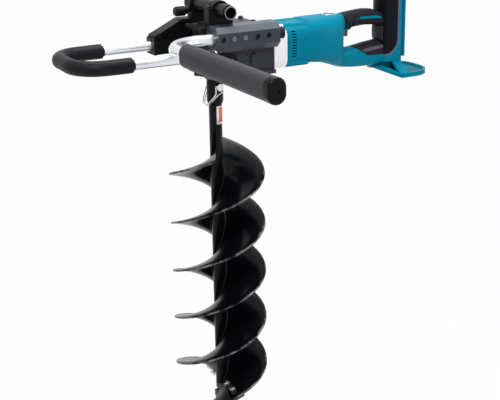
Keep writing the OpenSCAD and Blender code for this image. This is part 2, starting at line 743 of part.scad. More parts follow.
module pipe_plug() {
    color("black") difference() {
        union() {
            cx(pipe_end - 14, pipe_end + 1, pipe_y, pipe_z, pipe_r - 2.5 - seat_gap);
            cx(pipe_end, pipe_end + 13, pipe_y, pipe_z, pipe_r - 0.5);
        }
        for (i = [0:2]) difference() {
            cx(pipe_end + 2.5 + 3.5 * i, pipe_end + 4 + 3.5 * i, pipe_y, pipe_z, pipe_r + 1);
            cx(pipe_end + 2 + 3.5 * i, pipe_end + 4.5 + 3.5 * i, pipe_y, pipe_z, pipe_r - 2);
        }
    }
}

module sleeve_screws() {
    color("silver") for (x = [hole_x[1], hole_x[2]])
        screw_y(x, sleeve_y0 + 1.4, pipe_y - pipe_r + 5, hole_z, 2.5, 5.2, 4.6);
}

bracket_bolt_x = [-14, 6];
bracket_bolt_z = [head_z + 16, head_z + 36];
leg_r = loop_d / 2;
far_top = cross_z - 14;

module bracket_far() {
    color("black") difference() {
        union() {
            along_y(bracket_y0 + 2, bracket_y1) polygon([[bracket_x0, loop_z - 13], [bracket_x0, loop_z + 22],
                [bracket_x0 + 6, loop_z + 24], [-40, far_top - 14], [-12, far_top - 14], [-12, cross_z],
                [17, cross_z], [17, loop_z - 16], [-94, loop_z - 17]]);
            cy(0, bracket_y0 + 4, bracket_y1 - 2, cross_z, cross_o + 5);
            box(bracket_x0 - 3, bracket_x0 + 5, bracket_y0 - 1, bracket_y1 + 3, loop_z - 17, loop_z + 17);
            along_y(bracket_y0, bracket_y0 + 8) polygon([[-24, head_z + 8], [17, head_z + 8], [17, far_top],
                [-12, far_top], [-24, far_top - 15]]);
        }
        cx(bracket_x0 - 4, 40, loop_y, loop_z, leg_r + slide_gap);
        cy(0, bracket_y0 - 1, bracket_y1 + 4, cross_z, cross_o + seat_gap);
        along_y(bracket_y0 + 1, bracket_y0 + 6) polygon([[-86, loop_z + 13], [-86, loop_z + 20],
            [-46, far_top - 21], [-32, far_top - 21], [-32, loop_z + 13]]);
        box(bracket_x0 - 4, bracket_x0 + 30, loop_y - 1, loop_y + 1, loop_z - 30, loop_z);
        cx(-22, -6, knob_y, knob_z, 4 + run_gap);
        for (x = bracket_bolt_x) for (z = bracket_bolt_z) cy(x, bracket_y0 - 1, bracket_y1 + 1, z, 3.2);
        for (x = bracket_bolt_x) for (z = bracket_bolt_z) cy(x, bracket_y0 + 8, bracket_y1 + 1, z, 6);
    }
}

module bracket_near() {
    color("black") difference() {
        union() {
            along_y(-bracket_y1, -bracket_y0 - 2) polygon([[bracket_x0, loop_z - 13], [bracket_x0, loop_z + 10],
                [-44, loop_z + 10], [-38, loop_z + 4], [-38, loop_z - 14], [-94, loop_z - 17]]);
            along_y(-bracket_y0 - 6, -bracket_y0) polygon([[-70, loop_z + 4], [-70, loop_z - 14], [-40, head_z + 8],
                [17, head_z + 8], [17, head_z + 46], [-20, block_z1 - 2], [-36, block_z1 - 2], [-40, loop_z + 4]]);
        }
        cx(bracket_x0 - 4, 40, -loop_y, loop_z, leg_r + slide_gap);
        box(bracket_x0 - 4, bracket_x0 + 30, -loop_y - 1, -loop_y + 1, loop_z - 30, loop_z);
        for (x = bracket_bolt_x) for (z = bracket_bolt_z) cy(x, -bracket_y1, -bracket_y0 + 1, z, 3.2);
    }
}

module bracket_screws() {
    color("silver") for (x = bracket_bolt_x) for (z = bracket_bolt_z) {
        cy(x, -bracket_y0 - 6, -head_hw + 8, z, 2.8);
        cy(x, -bracket_y0 - 6 - 2.4, -bracket_y0 - 6, z, 5);
        cy(x, head_hw - 8, bracket_y0 + 8, z, 2.8);
        cy(x, bracket_y0 + 8, bracket_y0 + 11, z, 5);
    }
}

// Loop centre line: near leg, two round corners, far leg
module loop_sweep(r, x_end) {
    xb = -loop_reach + loop_bend;
    yb = loop_y - loop_bend;
    for (s = [-1, 1]) cx(xb, x_end, s * loop_y, loop_z, r);
    translate([xb, yb, loop_z]) rotate([0, 0, 90]) rotate_extrude(angle = 90)
        translate([loop_bend, 0]) circle(r);
    translate([xb, -yb, loop_z]) rotate([0, 0, 180]) rotate_extrude(angle = 90)
        translate([loop_bend, 0]) circle(r);
    cy(-loop_reach, -yb, yb, loop_z, r);
}

module loop_tube() {
    color("silver") loop_sweep(leg_r, leg_end);
}

module loop_foam() {
    color("black") difference() {
        loop_sweep(foam_d / 2, foam_x);
        loop_sweep(leg_r + seat_gap, foam_x + 5);
    }
}

knob_y = loop_y;
knob_drop = 14;
knob_z = cross_z - knob_drop;
knob_tip = -0.3 - sqrt(pow(cross_o + slide_gap, 2) - pow(knob_drop - 4, 2));
module clamp_knob() {
    color("black") union() {
        cx(-46, -26, knob_y, knob_z, 10);
        cx(-49, -46, knob_y, knob_z, 8);
        cx(-27, -20.6, knob_y, knob_z, 7);
        cx(-22, knob_tip, knob_y, knob_z, 4);
    }
}

module cross_tube() {
    color("silver") difference() {
        cy(0, -cross_len / 2, cross_len / 2, cross_z, cross_r);
        cy(0, -cross_len / 2 - 1, cross_len / 2 + 1, cross_z, cross_bore / 2);
    }
}

module cross_sleeve() {
    color("black") difference() {
        cy(0, -cross_len / 2 + 8, bracket_y1 + 1, cross_z, cross_o);
        cy(0, -cross_len / 2, bracket_y1 + 2, cross_z, cross_r + seat_gap);
    }
}

module tube_straps() {
    color("black") difference() {
        union() {
            cy(0, saddle_y[0], saddle_y[1], cross_z, cross_o + 4.5);
            box(-strap_x, strap_x, saddle_y[0], saddle_y[1], cross_z, cross_z + 5);
        }
        cy(0, saddle_y[0] - 1, saddle_y[1] + 1, cross_z, cross_o + seat_gap);
        box(-60, 60, saddle_y[0] - 1, saddle_y[1] + 1, cross_z - 40, cross_z + 0.3);
        for (s = [-1, 1]) cz(s * strap_hole, saddle_mid, cross_z - 1, cross_z + 8, 2.3);
    }
}

module strap_screws() {
    color("silver") for (s = [-1, 1]) screw_z(s * strap_hole, saddle_mid, cross_z - 14, cross_z + 8.5, 1.9, 3.6, 3.5);
}

// Point of a rounded-square section at angle t
function se(t, w, h, e) = [w * sign(cos(t)) * pow(abs(cos(t)), 2 / e),
    h * sign(sin(t)) * pow(abs(sin(t)), 2 / e)];

// Moulded half shell lofted along X between an outer and an inner list of [x, middle z, half width, half height]
module shell_x(so, si, t0, t1, m, e) {
    n = len(so);
    w = 2 * (m + 1);
    pts = [for (i = [0:n - 1]) for (s = [so[i], si[i]]) for (k = [0:m])
        let (q = se(t0 + (t1 - t0) * k / m, s[2], s[3], e)) [s[0], q[0], s[1] + q[1]]];
    function o(i, k) = i * w + k;
    function u(i, k) = i * w + m + 1 + k;
    side = [for (i = [0:n - 2]) for (k = [0:m - 1]) for (f = [0:3])
        f == 0 ? [o(i, k), o(i + 1, k), o(i + 1, k + 1)] :
        f == 1 ? [o(i, k), o(i + 1, k + 1), o(i, k + 1)] :
        f == 2 ? [u(i, k), u(i + 1, k + 1), u(i + 1, k)] :
            [u(i, k), u(i, k + 1), u(i + 1, k + 1)]];
    caps = [for (k = [0:m - 1]) for (f = [0:3])
        f == 0 ? [o(0, k), o(0, k + 1), u(0, k + 1)] :
        f == 1 ? [o(0, k), u(0, k + 1), u(0, k)] :
        f == 2 ? [o(n - 1, k), u(n - 1, k + 1), o(n - 1, k + 1)] :
            [o(n - 1, k), u(n - 1, k), u(n - 1, k + 1)]];
    seam = [for (i = [0:n - 2]) for (f = [0:3])
        f == 0 ? [o(i, 0), u(i, 0), u(i + 1, 0)] :
        f == 1 ? [o(i, 0), u(i + 1, 0), o(i + 1, 0)] :
        f == 2 ? [u(i, m), o(i, m), o(i + 1, m)] :
            [u(i, m), o(i + 1, m), u(i + 1, m)]];
    polyhedron(pts, concat(side, caps, seam));
}

function grow(st, d) = [for (s = st) [s[0], s[1], s[2] + d, s[3] + d]];

body_st = [[case_x0, motor_z, 46, 42], [case_x0 + 5, motor_z, 48.5, 43], [case_x0 + 54, motor_z, 48.5, 43],
    [case_x0 + 60, motor_z + 2, 51, 45.5], [case_x0 + 97, motor_z + 0.5, 50, 48],
    [case_x0 + 125, motor_z - 3.5, 45, 53], [case_x1 - 7, motor_z - 6, 37, 56],
    [case_x1 - 3.2, motor_z - 6, 34, 56], [case_x1 - 3, motor_z - 6, 34, 56], [case_x1, motor_z - 6, 30, 55]];
body_in = [for (i = [0:9]) i < 8 ? grow([body_st[i]], -case_wall)[0] :
    [body_st[i][0], motor_z - 4, 6, 6]];

gx = column_x - 405;
grip_st = [[286, 829, 19, 18], [300, 827, 19, 19], [317, 828.5, 18.5, 19.5], [321, 831.5, 17.5, 17],
    [340, 833.5, 17, 16.8], [357, 834, 17, 17], [376, 832.5, 17.3, 16.5], [394, 827.5, 18.5, 15.5],
    [405, 823, 21, 17]];
rail_st = [[284, 754.5, 22, 19], [300, 751.5, 19, 20], [330, 750.75, 18, 22.75], [363, 752.75, 18.5, 25.75],
    [385, 754, 19.5, 27], [395, 754.5, 20.5, 27.5], [405, 756, 24, 29]];
function put(st) = [for (s = st) [s[0] + gx, s[1] - 798 + motor_z, s[2], s[3]]];
grip_o = put(grip_st);
rail_o = put(rail_st);
soft_gap = 0.25;
under = soft_t + soft_gap;

trig_x = [301 + gx, 315 + gx];
trig_z = motor_z - 1;
rev_x = [323 + gx, 333 + gx];
rev_z = [motor_z + 21, motor_z + 28];
lock_x = 308 + gx;
lock_z = motor_z + 35;
speed_x = [case_x1 - 28, case_x1 - 18];
speed_z = motor_z + 50;
seam_screw = [[case_x1 + 16, motor_z - 45, 16.6], [column_x - 22, motor_z - 38, 15],
    [column_x - 30, motor_z + 34.5, 13.4]];

// Side views of the soft layer on the grip and on the rail, with a gap d at their edges
module grip_field(d) {
    translate([gx, motor_z - 798]) difference() {
        polygon([[296 + d, 862], [301 + d, 815 + d], [321 + d, 815 + d], [321 + d, 790], [420, 790], [420, 862]]);
        polygon([[337 - d, 833.3], [343, 838.6 + d], [357, 839.5 + d], [376, 837.8 + d], [394 + d, 832.5 + d],
            [394 + d, 822.5 - d], [376, 827.2 - d], [357, 828.5 - d], [343, 828.4 - d]]);
    }
}

module rail_field(d) {
    translate([gx, motor_z - 798])
        polygon([[312 + d, 782], [361 + d, 752 + d], [420, 752 + d], [420, 800], [312 + d, 800]]);
}

// Handle bar moulding of one half, with the hollow that takes its soft layer
module bar_half(st) {
    difference() {
        shell_x(st, grow(st, -case_wall - under), 90, 270, 16, 2.7);
        intersection() {
            shell_x(grow(st, 2), grow(st, -under), 78.75, 281.25, 18, 2.7);
            along_y(-50, 10) children();
        }
    }
}

// Half of the teal moulding on the -Y side
module case_half(button) {
    difference() {
        union() {
            shell_x(body_st, body_in, 90, 270, 16, 3.2);
            bar_half(grip_o) grip_field(0);
            bar_half(rail_o) rail_field(0);
            for (p = long_bolt_yz) if (p[0] < 0) cx(case_x0, long_bolt_x + 6, p[0], p[1], 7.5);
            case_rib(stator_x0 + 5, stator_x0 + 11, stator_d / 2 + seat_gap);
            case_rib(stator_x1 - 11, stator_x1 - 5, stator_d / 2 + seat_gap);
            case_rib(rear_bearing_x, rear_bearing_x + 7, 11);
            box(case_x1 - 36, case_x1 - 30, -18, 0, motor_z - 50.5, board_z);
            box(case_x1 - 18, case_x1 - 12, -18, 0, motor_z - 56.5, board_z);
            for (q = seam_screw) cy(q[0], -q[2], 0, q[1], 4.2);
        }
        for (p = long_bolt_yz) if (p[0] < 0) cx(case_x0 - 1, long_bolt_x + 1, p[0], p[1], 3.2);
        for (p = long_bolt_yz) if (p[0] < 0) cx(long_bolt_x, long_bolt_x + 12, p[0], p[1], 4.8);
        box(trig_x[0] - slide_gap, trig_x[1] + slide_gap, -7 - slide_gap, 1, trig_z, motor_z + 22);
        box(rev_x[0] - slide_gap, rev_x[1] + slide_gap, -40, 1, rev_z[0] - slide_gap, rev_z[1] + slide_gap);
        box(296 + gx - slide_gap, 317 + gx + slide_gap, -10 - slide_gap, 1, motor_z + 15.3, motor_z + 41 + slide_gap);
        if (button) cy(lock_x, -40, -8, lock_z, 4 + slide_gap);
        if (button) cy(lock_x, -13.8, -8, lock_z, 6);
        box(speed_x[0] - slide_gap, speed_x[1] + 10 + slide_gap, -6 - slide_gap, 1, speed_z - 10, speed_z + 20);
        for (q = seam_screw) cy(q[0], -30, 1, q[1], 1.75);
        for (q = seam_screw) cy(q[0], -40, -q[2] + 1.5, q[1], 3.4);
        for (i = [0:9]) box(case_x0 + 12, case_x0 + 22, -60, -38, vent_z + vent_p * i, vent_z + vent_p * i + 2.4);
        cz(column_c, 0, motor_z - 98, motor_z + 162, column_r + 0.3);
    }
}

vent_z = motor_z - 22;
vent_p = 5.6;
column_c = column_x + 28;
column_r = 41;
board_z = motor_z - 44;

// Web inside one half that holds a round part on the motor axis
module case_rib(x0, x1, r) {
    difference() {
        intersection() {
            translate([0, 0, motor_z]) along_x(x0, x1) rrect(92.4, 81.6, 24);
            box(x0 - 1, x1 + 1, -60, 0, motor_z - 60, motor_z + 60);
        }
        cx(x0 - 1, x1 + 1, 0, motor_z, r);
    }
}

module soft_half(button) {
    difference() {
        union() {
            intersection() {
                shell_x(grip_o, grow(grip_o, -soft_t), 90, 270, 16, 2.7);
                along_y(-50, 1) grip_field(soft_gap);
            }
            intersection() {
                shell_x(rail_o, grow(rail_o, -soft_t), 90, 270, 16, 2.7);
                along_y(-50, 1) rail_field(soft_gap);
            }
        }
        box(rev_x[0] - slide_gap, rev_x[1] + slide_gap, -40, 1, rev_z[0] - slide_gap, rev_z[1] + slide_gap);
        for (q = seam_screw) cy(q[0], -40, -5, q[1], 3.6);
        if (button) cy(lock_x, -40, -8, lock_z, 4 + slide_gap);
        cz(column_c, 0, motor_z - 98, motor_z + 162, column_r + 0.3);
    }
}

module case_near() {
    color("#0f8f97") case_half(true);
}

module case_far() {
    color("#0f8f97") mirror([0, 1, 0]) case_half(false);
}

module soft_near() {
    color("#1c1d1f") soft_half(true);
}

module soft_far() {
    color("#1c1d1f") mirror([0, 1, 0]) soft_half(false);
}

module case_screws() {
    color("silver") for (q = seam_screw) for (s = [0, 1]) mirror([0, s, 0])
        screw_y(q[0], -q[2] - 1.1, -0.4, q[1], 1.6, 3.1, 2.6);
}

column_z0 = motor_z - 63;
column_zc = (column_z0 + column_z1) / 2;
plate_x = column_x + 25;
plate_x1 = plate_x + 11;

// Column seen from above, d smaller all round
module column_plan(d) {
    intersection() {
        translate([column_c, 0]) circle(column_r - d);
        translate([column_x - 30, -column_hw + d]) square([plate_x1 - column_x + 30, 2 * column_hw - 2 * d]);
    }
}

// Column shell seen from the side, d smaller all round
module column_side(d) {
    translate([column_x - 7, motor_z - 14]) {
        circle(32 - d);
        translate([-30, 0]) square([62 - d, column_z1 - motor_z + 14 - d]);
        translate([-30, -32 + d]) square([30, 60]);
    }
}

module battery_base() {
    color("#1c1d1f") difference() {
        intersection() {
            translate([0, 0, column_z0]) linear_extrude(column_z1 - column_z0) column_plan(0);
            along_y(-column_hw - 1, column_hw + 1) column_side(0);
        }
        intersection() {
            translate([0, 0, column_z0]) linear_extrude(column_z1 - column_z0) column_plan(3);
            along_y(-column_hw - 1, column_hw + 1) column_side(3);
        }
        box(column_x, plate_x + 1, -column_hw + 3, column_hw - 3, motor_z - 8, column_z1 - 3);
        cx(column_x - 16, column_x - 4, 0, motor_z - 33, 7);
        cx(column_x - 16, column_x - 4, 0, motor_z + 25, 6);
    }
}

module plate_side() {
    difference() {
        union() {
            translate([plate_x1 - 60, column_zc]) rrect(120, column_z1 - column_z0, 10);
            translate([plate_x1 - 60, column_z0]) square([60, 40]);
        }
        column_side(-seat_gap);
    }
}

rail_z0 = column_z0 + 8;
rail_z1 = column_z1 - 6;
bay = (rail_z1 - rail_z0) / 2;
module back_plate() {
    color("#0f8f97") difference() {
        union() {
            intersection() {
                translate([0, 0, column_z0]) linear_extrude(column_z1 - column_z0) column_plan(0);
                along_y(-column_hw - 1, column_hw + 1) plate_side();
            }
            for (s = [-1, 1]) {
                box(plate_x1 - 0.5, plate_x1 + 9, s * 20 - 3, s * 20 + 3, rail_z0, rail_z1);
                box(plate_x1 + 5, plate_x1 + 9, s * 22 - 5, s * 22 + 5, rail_z0, rail_z1);
            }
        }
        box(plate_x + 2, plate_x1 - 3, -column_hw + 3, column_hw - 3, motor_z - 48, column_z1 - 3);
        box(plate_x - 1, plate_x1 - 3, -column_hw + 3, column_hw - 3, motor_z - 8, column_z1 - 3);
        for (i = [0, 1]) for (s = [-1, 1])
            box(plate_x1 - 4, plate_x1 + 1, s * 9 - 1.4, s * 9 + 1.4, rail_z0 + bay * i + 16, rail_z0 + bay * i + 34);
    }
}

// Contact blades and the insulating block that holds them, one set for each battery bay
module terminals() {
    color("#c8a24a") for (i = [0, 1]) union() {
        z = rail_z0 + bay * i;
        box(plate_x1 - 8, plate_x1 - 3, -16, 16, z + 12, z + 38);
        for (s = [-1, 1]) box(plate_x1 - 4, plate_x1 + 8, s * 9 - 1, s * 9 + 1, z + 17, z + 33);
    }
}

foot_x = column_x + 10;
foot_x1 = column_x + 98.5;
foot_round = 53;
module foot_guard() {
    color("#0f8f97") difference() {
        union() {
            translate([0, 0, foot_z - 6]) linear_extrude(6) foot_outline(0);
            difference() {
                translate([0, 0, foot_z - 1]) linear_extrude(5) foot_outline(0);
                translate([0, 0, foot_z - 2]) linear_extrude(8) foot_outline(5);
            }
            hull() {
                box(column_x - 2.5, plate_x1, -column_hw, column_hw, column_z0 - 1, column_z0);
                box(foot_x + 2, plate_x1, -foot_hw + 1, foot_hw - 1, foot_z - 6, foot_z - 2);
            }
            hull() {
                box(column_x - 17, column_x - 1, -13, 13, motor_z - 74, motor_z - 72.5);
                box(foot_x, foot_x + 5, -foot_hw + 1, foot_hw - 1, foot_z - 6, foot_z - 2);
            }
        }
        hull() {
            box(column_x + 5, plate_x1 - 5, -column_hw + 6, column_hw - 6, column_z0 - 6, column_z0 - 5);
            box(foot_x + 8, plate_x1 - 5, -foot_hw + 15, foot_hw - 15, foot_z - 7, foot_z - 6.5);
        }
    }
}

module foot_outline(d) {
    intersection() {
        translate([foot_x1 - 100, 0]) rrect(200 - 2 * d, 2 * foot_hw - 2 * d, foot_round - d);
        translate([foot_x + d, -100]) square([140, 200]);
    }
}

module switch_body() {
    color("#2a2b2d") difference() {
        box(296 + gx, 317 + gx, -10, 10, motor_z + 16.5, motor_z + 41);
        box(trig_x[0] - 1.3, trig_x[1] + 1.3, -8.3, 8.3, motor_z + 15, motor_z + 26);
        cy(lock_x, -13, -7, lock_z, 6);
    }
}

module controller() {
    color("#24563b") union() {
        box(case_x1 - 38, case_x1 - 10, -17, 17, board_z, board_z + 4);
        box(case_x1 - 34, case_x1 - 14, -13, 13, board_z + 3.9, board_z + 15);
    }
}

module trigger() {
    color("#6d7074") union() {
        box(trig_x[0], trig_x[1], -7, 7, trig_z, motor_z + 16);
        box(trig_x[0] - 0.9, trig_x[1] + 0.9, -7.9, 7.9, motor_z + 15.6, motor_z + 17.4);
    }
}

module reverse_lever() {
    color("#2a2b2d") box(rev_x[0], rev_x[1], -21, 21, rev_z[0], rev_z[1]);
}

module lock_button() {
    color("#2a2b2d") union() {
        cy(lock_x, -21.5, -12.2, lock_z, 4);
        cy(lock_x, -13.4, -12.2, lock_z, 5.5);
    }
}

module speed_lever() {
    color("#9a9da0") union() {
        box(speed_x[0], speed_x[1], -6, 6, speed_z - 6, speed_z + 2);
        box(speed_x[0] - 4, speed_x[1] + 4, -9, 9, speed_z - 7.2, speed_z - 5.2);
    }
}

bit_shaft();
flight_a();
flight_b();
cutter_blades();
blade_bolts();
pilot_point();
lock_pin();
bail_wire();
spindle();
dust_collar();
ring_gear();
spindle_bearings();
oil_seal();
bevel_shaft();
lay_gear();
lay_bearings();
idler_shaft();
idler_gear();
idler_bearings();
rotor_shaft();
rotor_core();
cooling_fan();
stator();
motor_bearings();
gear_housing();
gear_cover();
cover_screws();
neck_case();
long_bolts();
pipe_sleeve();
side_pipe();
side_grip();
grip_cap();
pipe_plug();
sleeve_screws();
bracket_far();
bracket_near();
bracket_screws();
loop_tube();
loop_foam();
clamp_knob();
cross_tube();
cross_sleeve();
tube_straps();
strap_screws();
case_near();
case_far();
soft_near();
soft_far();
case_screws();
battery_base();
back_plate();
foot_guard();
terminals();
switch_body();
controller();
trigger();
reverse_lever();
lock_button();
speed_lever();
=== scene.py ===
"""Earth auger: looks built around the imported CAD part, in metres and in its frame."""
import math

import bmesh
import bpy
from mathutils import Matrix, Vector, noise


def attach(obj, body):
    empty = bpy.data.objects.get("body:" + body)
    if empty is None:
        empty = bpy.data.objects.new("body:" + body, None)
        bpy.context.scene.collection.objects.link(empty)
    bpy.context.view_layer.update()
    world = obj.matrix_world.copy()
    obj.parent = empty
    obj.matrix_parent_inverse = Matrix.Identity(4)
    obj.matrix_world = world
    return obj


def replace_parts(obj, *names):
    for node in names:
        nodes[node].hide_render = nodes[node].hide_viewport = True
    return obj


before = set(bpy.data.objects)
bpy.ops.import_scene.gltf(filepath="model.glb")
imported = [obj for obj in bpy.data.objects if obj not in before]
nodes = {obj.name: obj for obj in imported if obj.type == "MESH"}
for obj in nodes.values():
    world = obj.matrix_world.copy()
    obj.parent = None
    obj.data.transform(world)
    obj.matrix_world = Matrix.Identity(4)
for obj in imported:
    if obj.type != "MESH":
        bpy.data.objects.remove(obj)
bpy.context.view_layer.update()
scene = bpy.context.scene


# Studio: a wide pale floor under the point of the bit, in a white room.
# The camera and every reflection see it white; three soft lamps light the part.
class Sock:
    """An output socket; sums on it add Math nodes to its material."""

    def __init__(self, tree, out):
        self.tree, self.out = tree, out

    def math(self, how, a, b):
        """Adds a Math node and gives its output."""
        node = self.tree.nodes.new("ShaderNodeMath")
        node.operation = how
        for plug, value in zip(node.inputs, (a, b)):
            join(self.tree, plug, value)
        return Sock(self.tree, node.outputs[0])

    def __add__(self, other):
        return self.math("ADD", self, other)

    def __sub__(self, other):
        return self.math("SUBTRACT", self, other)

    def __rsub__(self, other):
        return self.math("SUBTRACT", other, self)

    def __mul__(self, other):
        return self.math("MULTIPLY", self, other)

    def __pow__(self, other):
        return self.math("POWER", self, other)

    def __gt__(self, other):
        return self.math("GREATER_THAN", self, other)

    def __lt__(self, other):
        return self.math("LESS_THAN", self, other)

    __radd__ = __add__
    __rmul__ = __mul__


def join(tree, plug, value):
    """Links a socket to an input, or sets the input's own value."""
    if isinstance(value, Sock):
        tree.links.new(value.out, plug)
    else:
        plug.default_value = value


class Finish:
    """One material. add() makes any node, blend() a mix of colours, and surface() fills the shader."""

    def __init__(self, name, tree=None):
        if tree is None:
            self.mat = bpy.data.materials.new(name)
            self.mat.use_nodes = True
            tree = self.mat.node_tree
        self.tree = tree

    def add(self, kind, settings=None, out=0, **plugs):
        """Makes a node: first its settings, then its sockets by name, or by number as in _0."""
        node = self.tree.nodes.new(kind)
        for key, value in (settings or {}).items():
            setattr(node, key, value)
        for key, value in plugs.items():
            plug = node.inputs[int(key[1:])] if key[1:].isdigit() else node.inputs[key.replace("_", " ")]
            join(self.tree, plug, value)
        return Sock(self.tree, node.outputs[out])

    def blend(self, share, low, high):
        """Mixes two colours, each three numbers or a socket."""
        low, high = (c if isinstance(c, Sock) else (*c, 1.0) for c in (low, high))
        return self.add("ShaderNodeMix", {"data_type": "RGBA"}, 2, _0=share, _6=low, _7=high)

    def surface(self, **plugs):
        """Sets or links sockets of the material's own shader."""
        shader = self.tree.nodes["Principled BSDF"]
        for key, value in plugs.items():
            join(self.tree, shader.inputs[key.replace("_", " ")], value)
        return self


def looked_at(finish):
    """Is 1 for rays from the camera, a reflection or a clear piece, and 0 for plain light."""
    kinds = ("Is Camera Ray", "Is Glossy Ray", "Is Transmission Ray")
    camera, glossy, clear = (finish.add("ShaderNodeLightPath", None, kind) for kind in kinds)
    return camera + glossy + clear


WHITE, ROOM_LIGHT, FLOOR_LOW = (1.0, 1.0, 1.0, 1.0), 0.38, -0.0015
room = bpy.data.worlds.new("studio_room")
scene.world = room
room.use_nodes = True
air = Finish("studio_room", room.node_tree)
room_sky = room.node_tree.nodes["Background"]
room_sky.inputs["Color"].default_value = WHITE
join(room.node_tree, room_sky.inputs["Strength"], looked_at(air) * (1.0 - ROOM_LIGHT) + ROOM_LIGHT)

floor_mesh = bpy.data.meshes.new("studio_floor")
bm = bmesh.new()
bmesh.ops.create_grid(bm, x_segments=4, y_segments=4, size=14.0)
bmesh.ops.translate(bm, verts=bm.verts, vec=(0.0, 0.0, FLOOR_LOW))
bm.to_mesh(floor_mesh)
bm.free()
studio_floor = bpy.data.objects.new("studio_floor", floor_mesh)
scene.collection.objects.link(studio_floor)
pale = Finish("pale_floor")
glow = pale.add("ShaderNodeEmission", None, Color=WHITE, Strength=1.0)
matt = pale.add("ShaderNodeBsdfDiffuse", None, Color=(0.88, 0.88, 0.88, 1.0))
shown = pale.add("ShaderNodeMixShader", None, Fac=looked_at(pale) * 0.98, _1=matt, _2=glow)
pale.tree.links.new(shown.out, pale.tree.nodes["Material Output"].inputs["Surface"])
floor_mesh.materials.append(pale.mat)


def lamp(name, place, target, size, power):
    """Hangs a soft rectangular lamp that looks at a target."""
    light = bpy.data.lights.new(name, "AREA")
    light.shape = "RECTANGLE"
    light.size, light.size_y = size
    light.energy = power
    ob = bpy.data.objects.new(name, light)
    ob.location = place
    ob.rotation_mode = "QUATERNION"
    ob.rotation_quaternion = (Vector(target) - Vector(place)).to_track_quat("-Z", "Y")
    scene.collection.objects.link(ob)


lamp("key_softbox", (-1.2, -1.6, 2.6), (0.0, 0.0, 0.7), (0.9, 0.7), 36.0)
lamp("top_strip", (0.2, 0.1, 2.3), (0.1, 0.0, 0.8), (1.4, 0.4), 26.0)
lamp("right_softbox", (1.9, -1.3, 1.3), (0.0, 0.0, 0.5), (0.5, 1.0), 12.0)

CAMERA_AT, CAMERA_TURNS = (-1.0075, -2.0318, 1.2452), (-28.09, 18.65, -0.9)
cam_data = bpy.data.cameras.new("photo_camera")
cam_data.sensor_width = 36.0
cam_data.lens = 82.07
photo_camera = bpy.data.objects.new("photo_camera", cam_data)
turn, tilt, roll = (math.radians(v) for v in CAMERA_TURNS)
back = Vector((math.sin(turn) * math.cos(tilt), -math.cos(turn) * math.cos(tilt), math.sin(tilt)))
right = Vector((math.cos(turn), math.sin(turn), 0.0))
rise = back.cross(right)
across = right * math.cos(roll) + rise * math.sin(roll)
upward = rise * math.cos(roll) - right * math.sin(roll)
view = Matrix((across, upward, back)).transposed().to_4x4()
view.translation = Vector(CAMERA_AT)
photo_camera.matrix_world = view
scene.collection.objects.link(photo_camera)
scene.camera = photo_camera
scene.view_settings.view_transform = "Standard"


# Bit tube: a drawn steel tube with a wider drive socket at its top, sprayed gloss black.
# The paint shows a slight orange peel, and soil scuffs it grey in patches.
def dress(names, finish, edge=0.0004, angle=38.0):
    """Gives CAD nodes their finish, smooth round faces and slightly broken edges."""
    for name in names.split():
        ob = nodes[name]
        ob.data.materials.clear()
        ob.data.materials.append(finish.mat)
        old = ob.data.attributes.get("custom_normal")
        if old is not None:
            ob.data.attributes.remove(old)
        for face in ob.data.polygons:
            face.use_smooth = True
        weld = ob.modifiers.new("weld", "WELD")
        weld.merge_threshold = 2e-5
        flat = ob.modifiers.new("flat", "DECIMATE")
        flat.decimate_type = "DISSOLVE"
        flat.angle_limit = math.radians(0.6)
        rim = ob.modifiers.new("edge", "BEVEL")
        rim.width = edge
        rim.segments = 2
        rim.limit_method = "ANGLE"
        rim.angle_limit = math.radians(angle)
        rim.harden_normals = True


def bit_coat(name, black, bare, worn_from, worn_to):
    """Gloss black paint that wears to bare steel towards the rim of the bit."""
    f = Finish(name)
    at = f.add("ShaderNodeTexCoord", None, "Object")
    x = f.add("ShaderNodeSeparateXYZ", None, "X", Vector=at)
    y = f.add("ShaderNodeSeparateXYZ", None, "Y", Vector=at)
    peel = f.add("ShaderNodeTexNoise", None, "Fac", Vector=at, Scale=420.0, Detail=2.0)
    patch = f.add("ShaderNodeTexNoise", None, "Fac", Vector=at, Scale=34.0, Detail=7.0, Roughness=0.68)
    rim = f.add("ShaderNodeMapRange", {"interpolation_type": "SMOOTHSTEP"}, 0, Value=(x * x + y * y) ** 0.5,
                From_Min=worn_from, From_Max=worn_to)
    worn = f.add("ShaderNodeMapRange", None, 0, Value=rim * 0.45 + patch, From_Min=0.86, From_Max=1.05)
    shade = f.blend(worn, black, bare)
    bump = f.add("ShaderNodeBump", None, Strength=0.06, Distance=0.0004, Height=peel + patch * 0.5)
    return f.surface(Base_Color=shade, Metallic=worn * 0.8, Roughness=patch * 0.16 + worn * 0.2 + 0.12,
                     Normal=bump, Specular_IOR_Level=0.12)


bit_paint = bit_coat("bit_paint", (0.003, 0.0035, 0.0055), (0.2, 0.2, 0.21), 0.088, 0.101)
dress("bit_shaft", bit_paint, 0.0008)


# Flights: two steel helical plates, each two and a half turns, rolled and welded to the tube.
# Their outer edge is rounded by soil and shows bright where the paint has gone.
FLIGHT_R, FLIGHT_IN, FLIGHT_HALF = 0.1, 0.01362, 0.0023
FLIGHT_LOW, FLIGHT_PITCH, FLIGHT_START, FLIGHT_TURN = 0.062, 0.2154, -826.9365, 889.136
FLIGHT_LEADS = (0.0, 180.0)


def piece(name, bm, finish, body, sharp=35.0):
    """Makes a finished bmesh an object that rides on a body."""
    bmesh.ops.recalc_face_normals(bm, faces=bm.faces)
    mesh = bpy.data.meshes.new(name)
    bm.to_mesh(mesh)
    bm.free()
    for face in mesh.polygons:
        face.use_smooth = True
    mesh.set_sharp_from_angle(angle=math.radians(sharp))
    mesh.materials.append(finish.mat)
    ob = bpy.data.objects.new(name, mesh)
    scene.collection.objects.link(ob)
    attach(ob, body)
    return ob


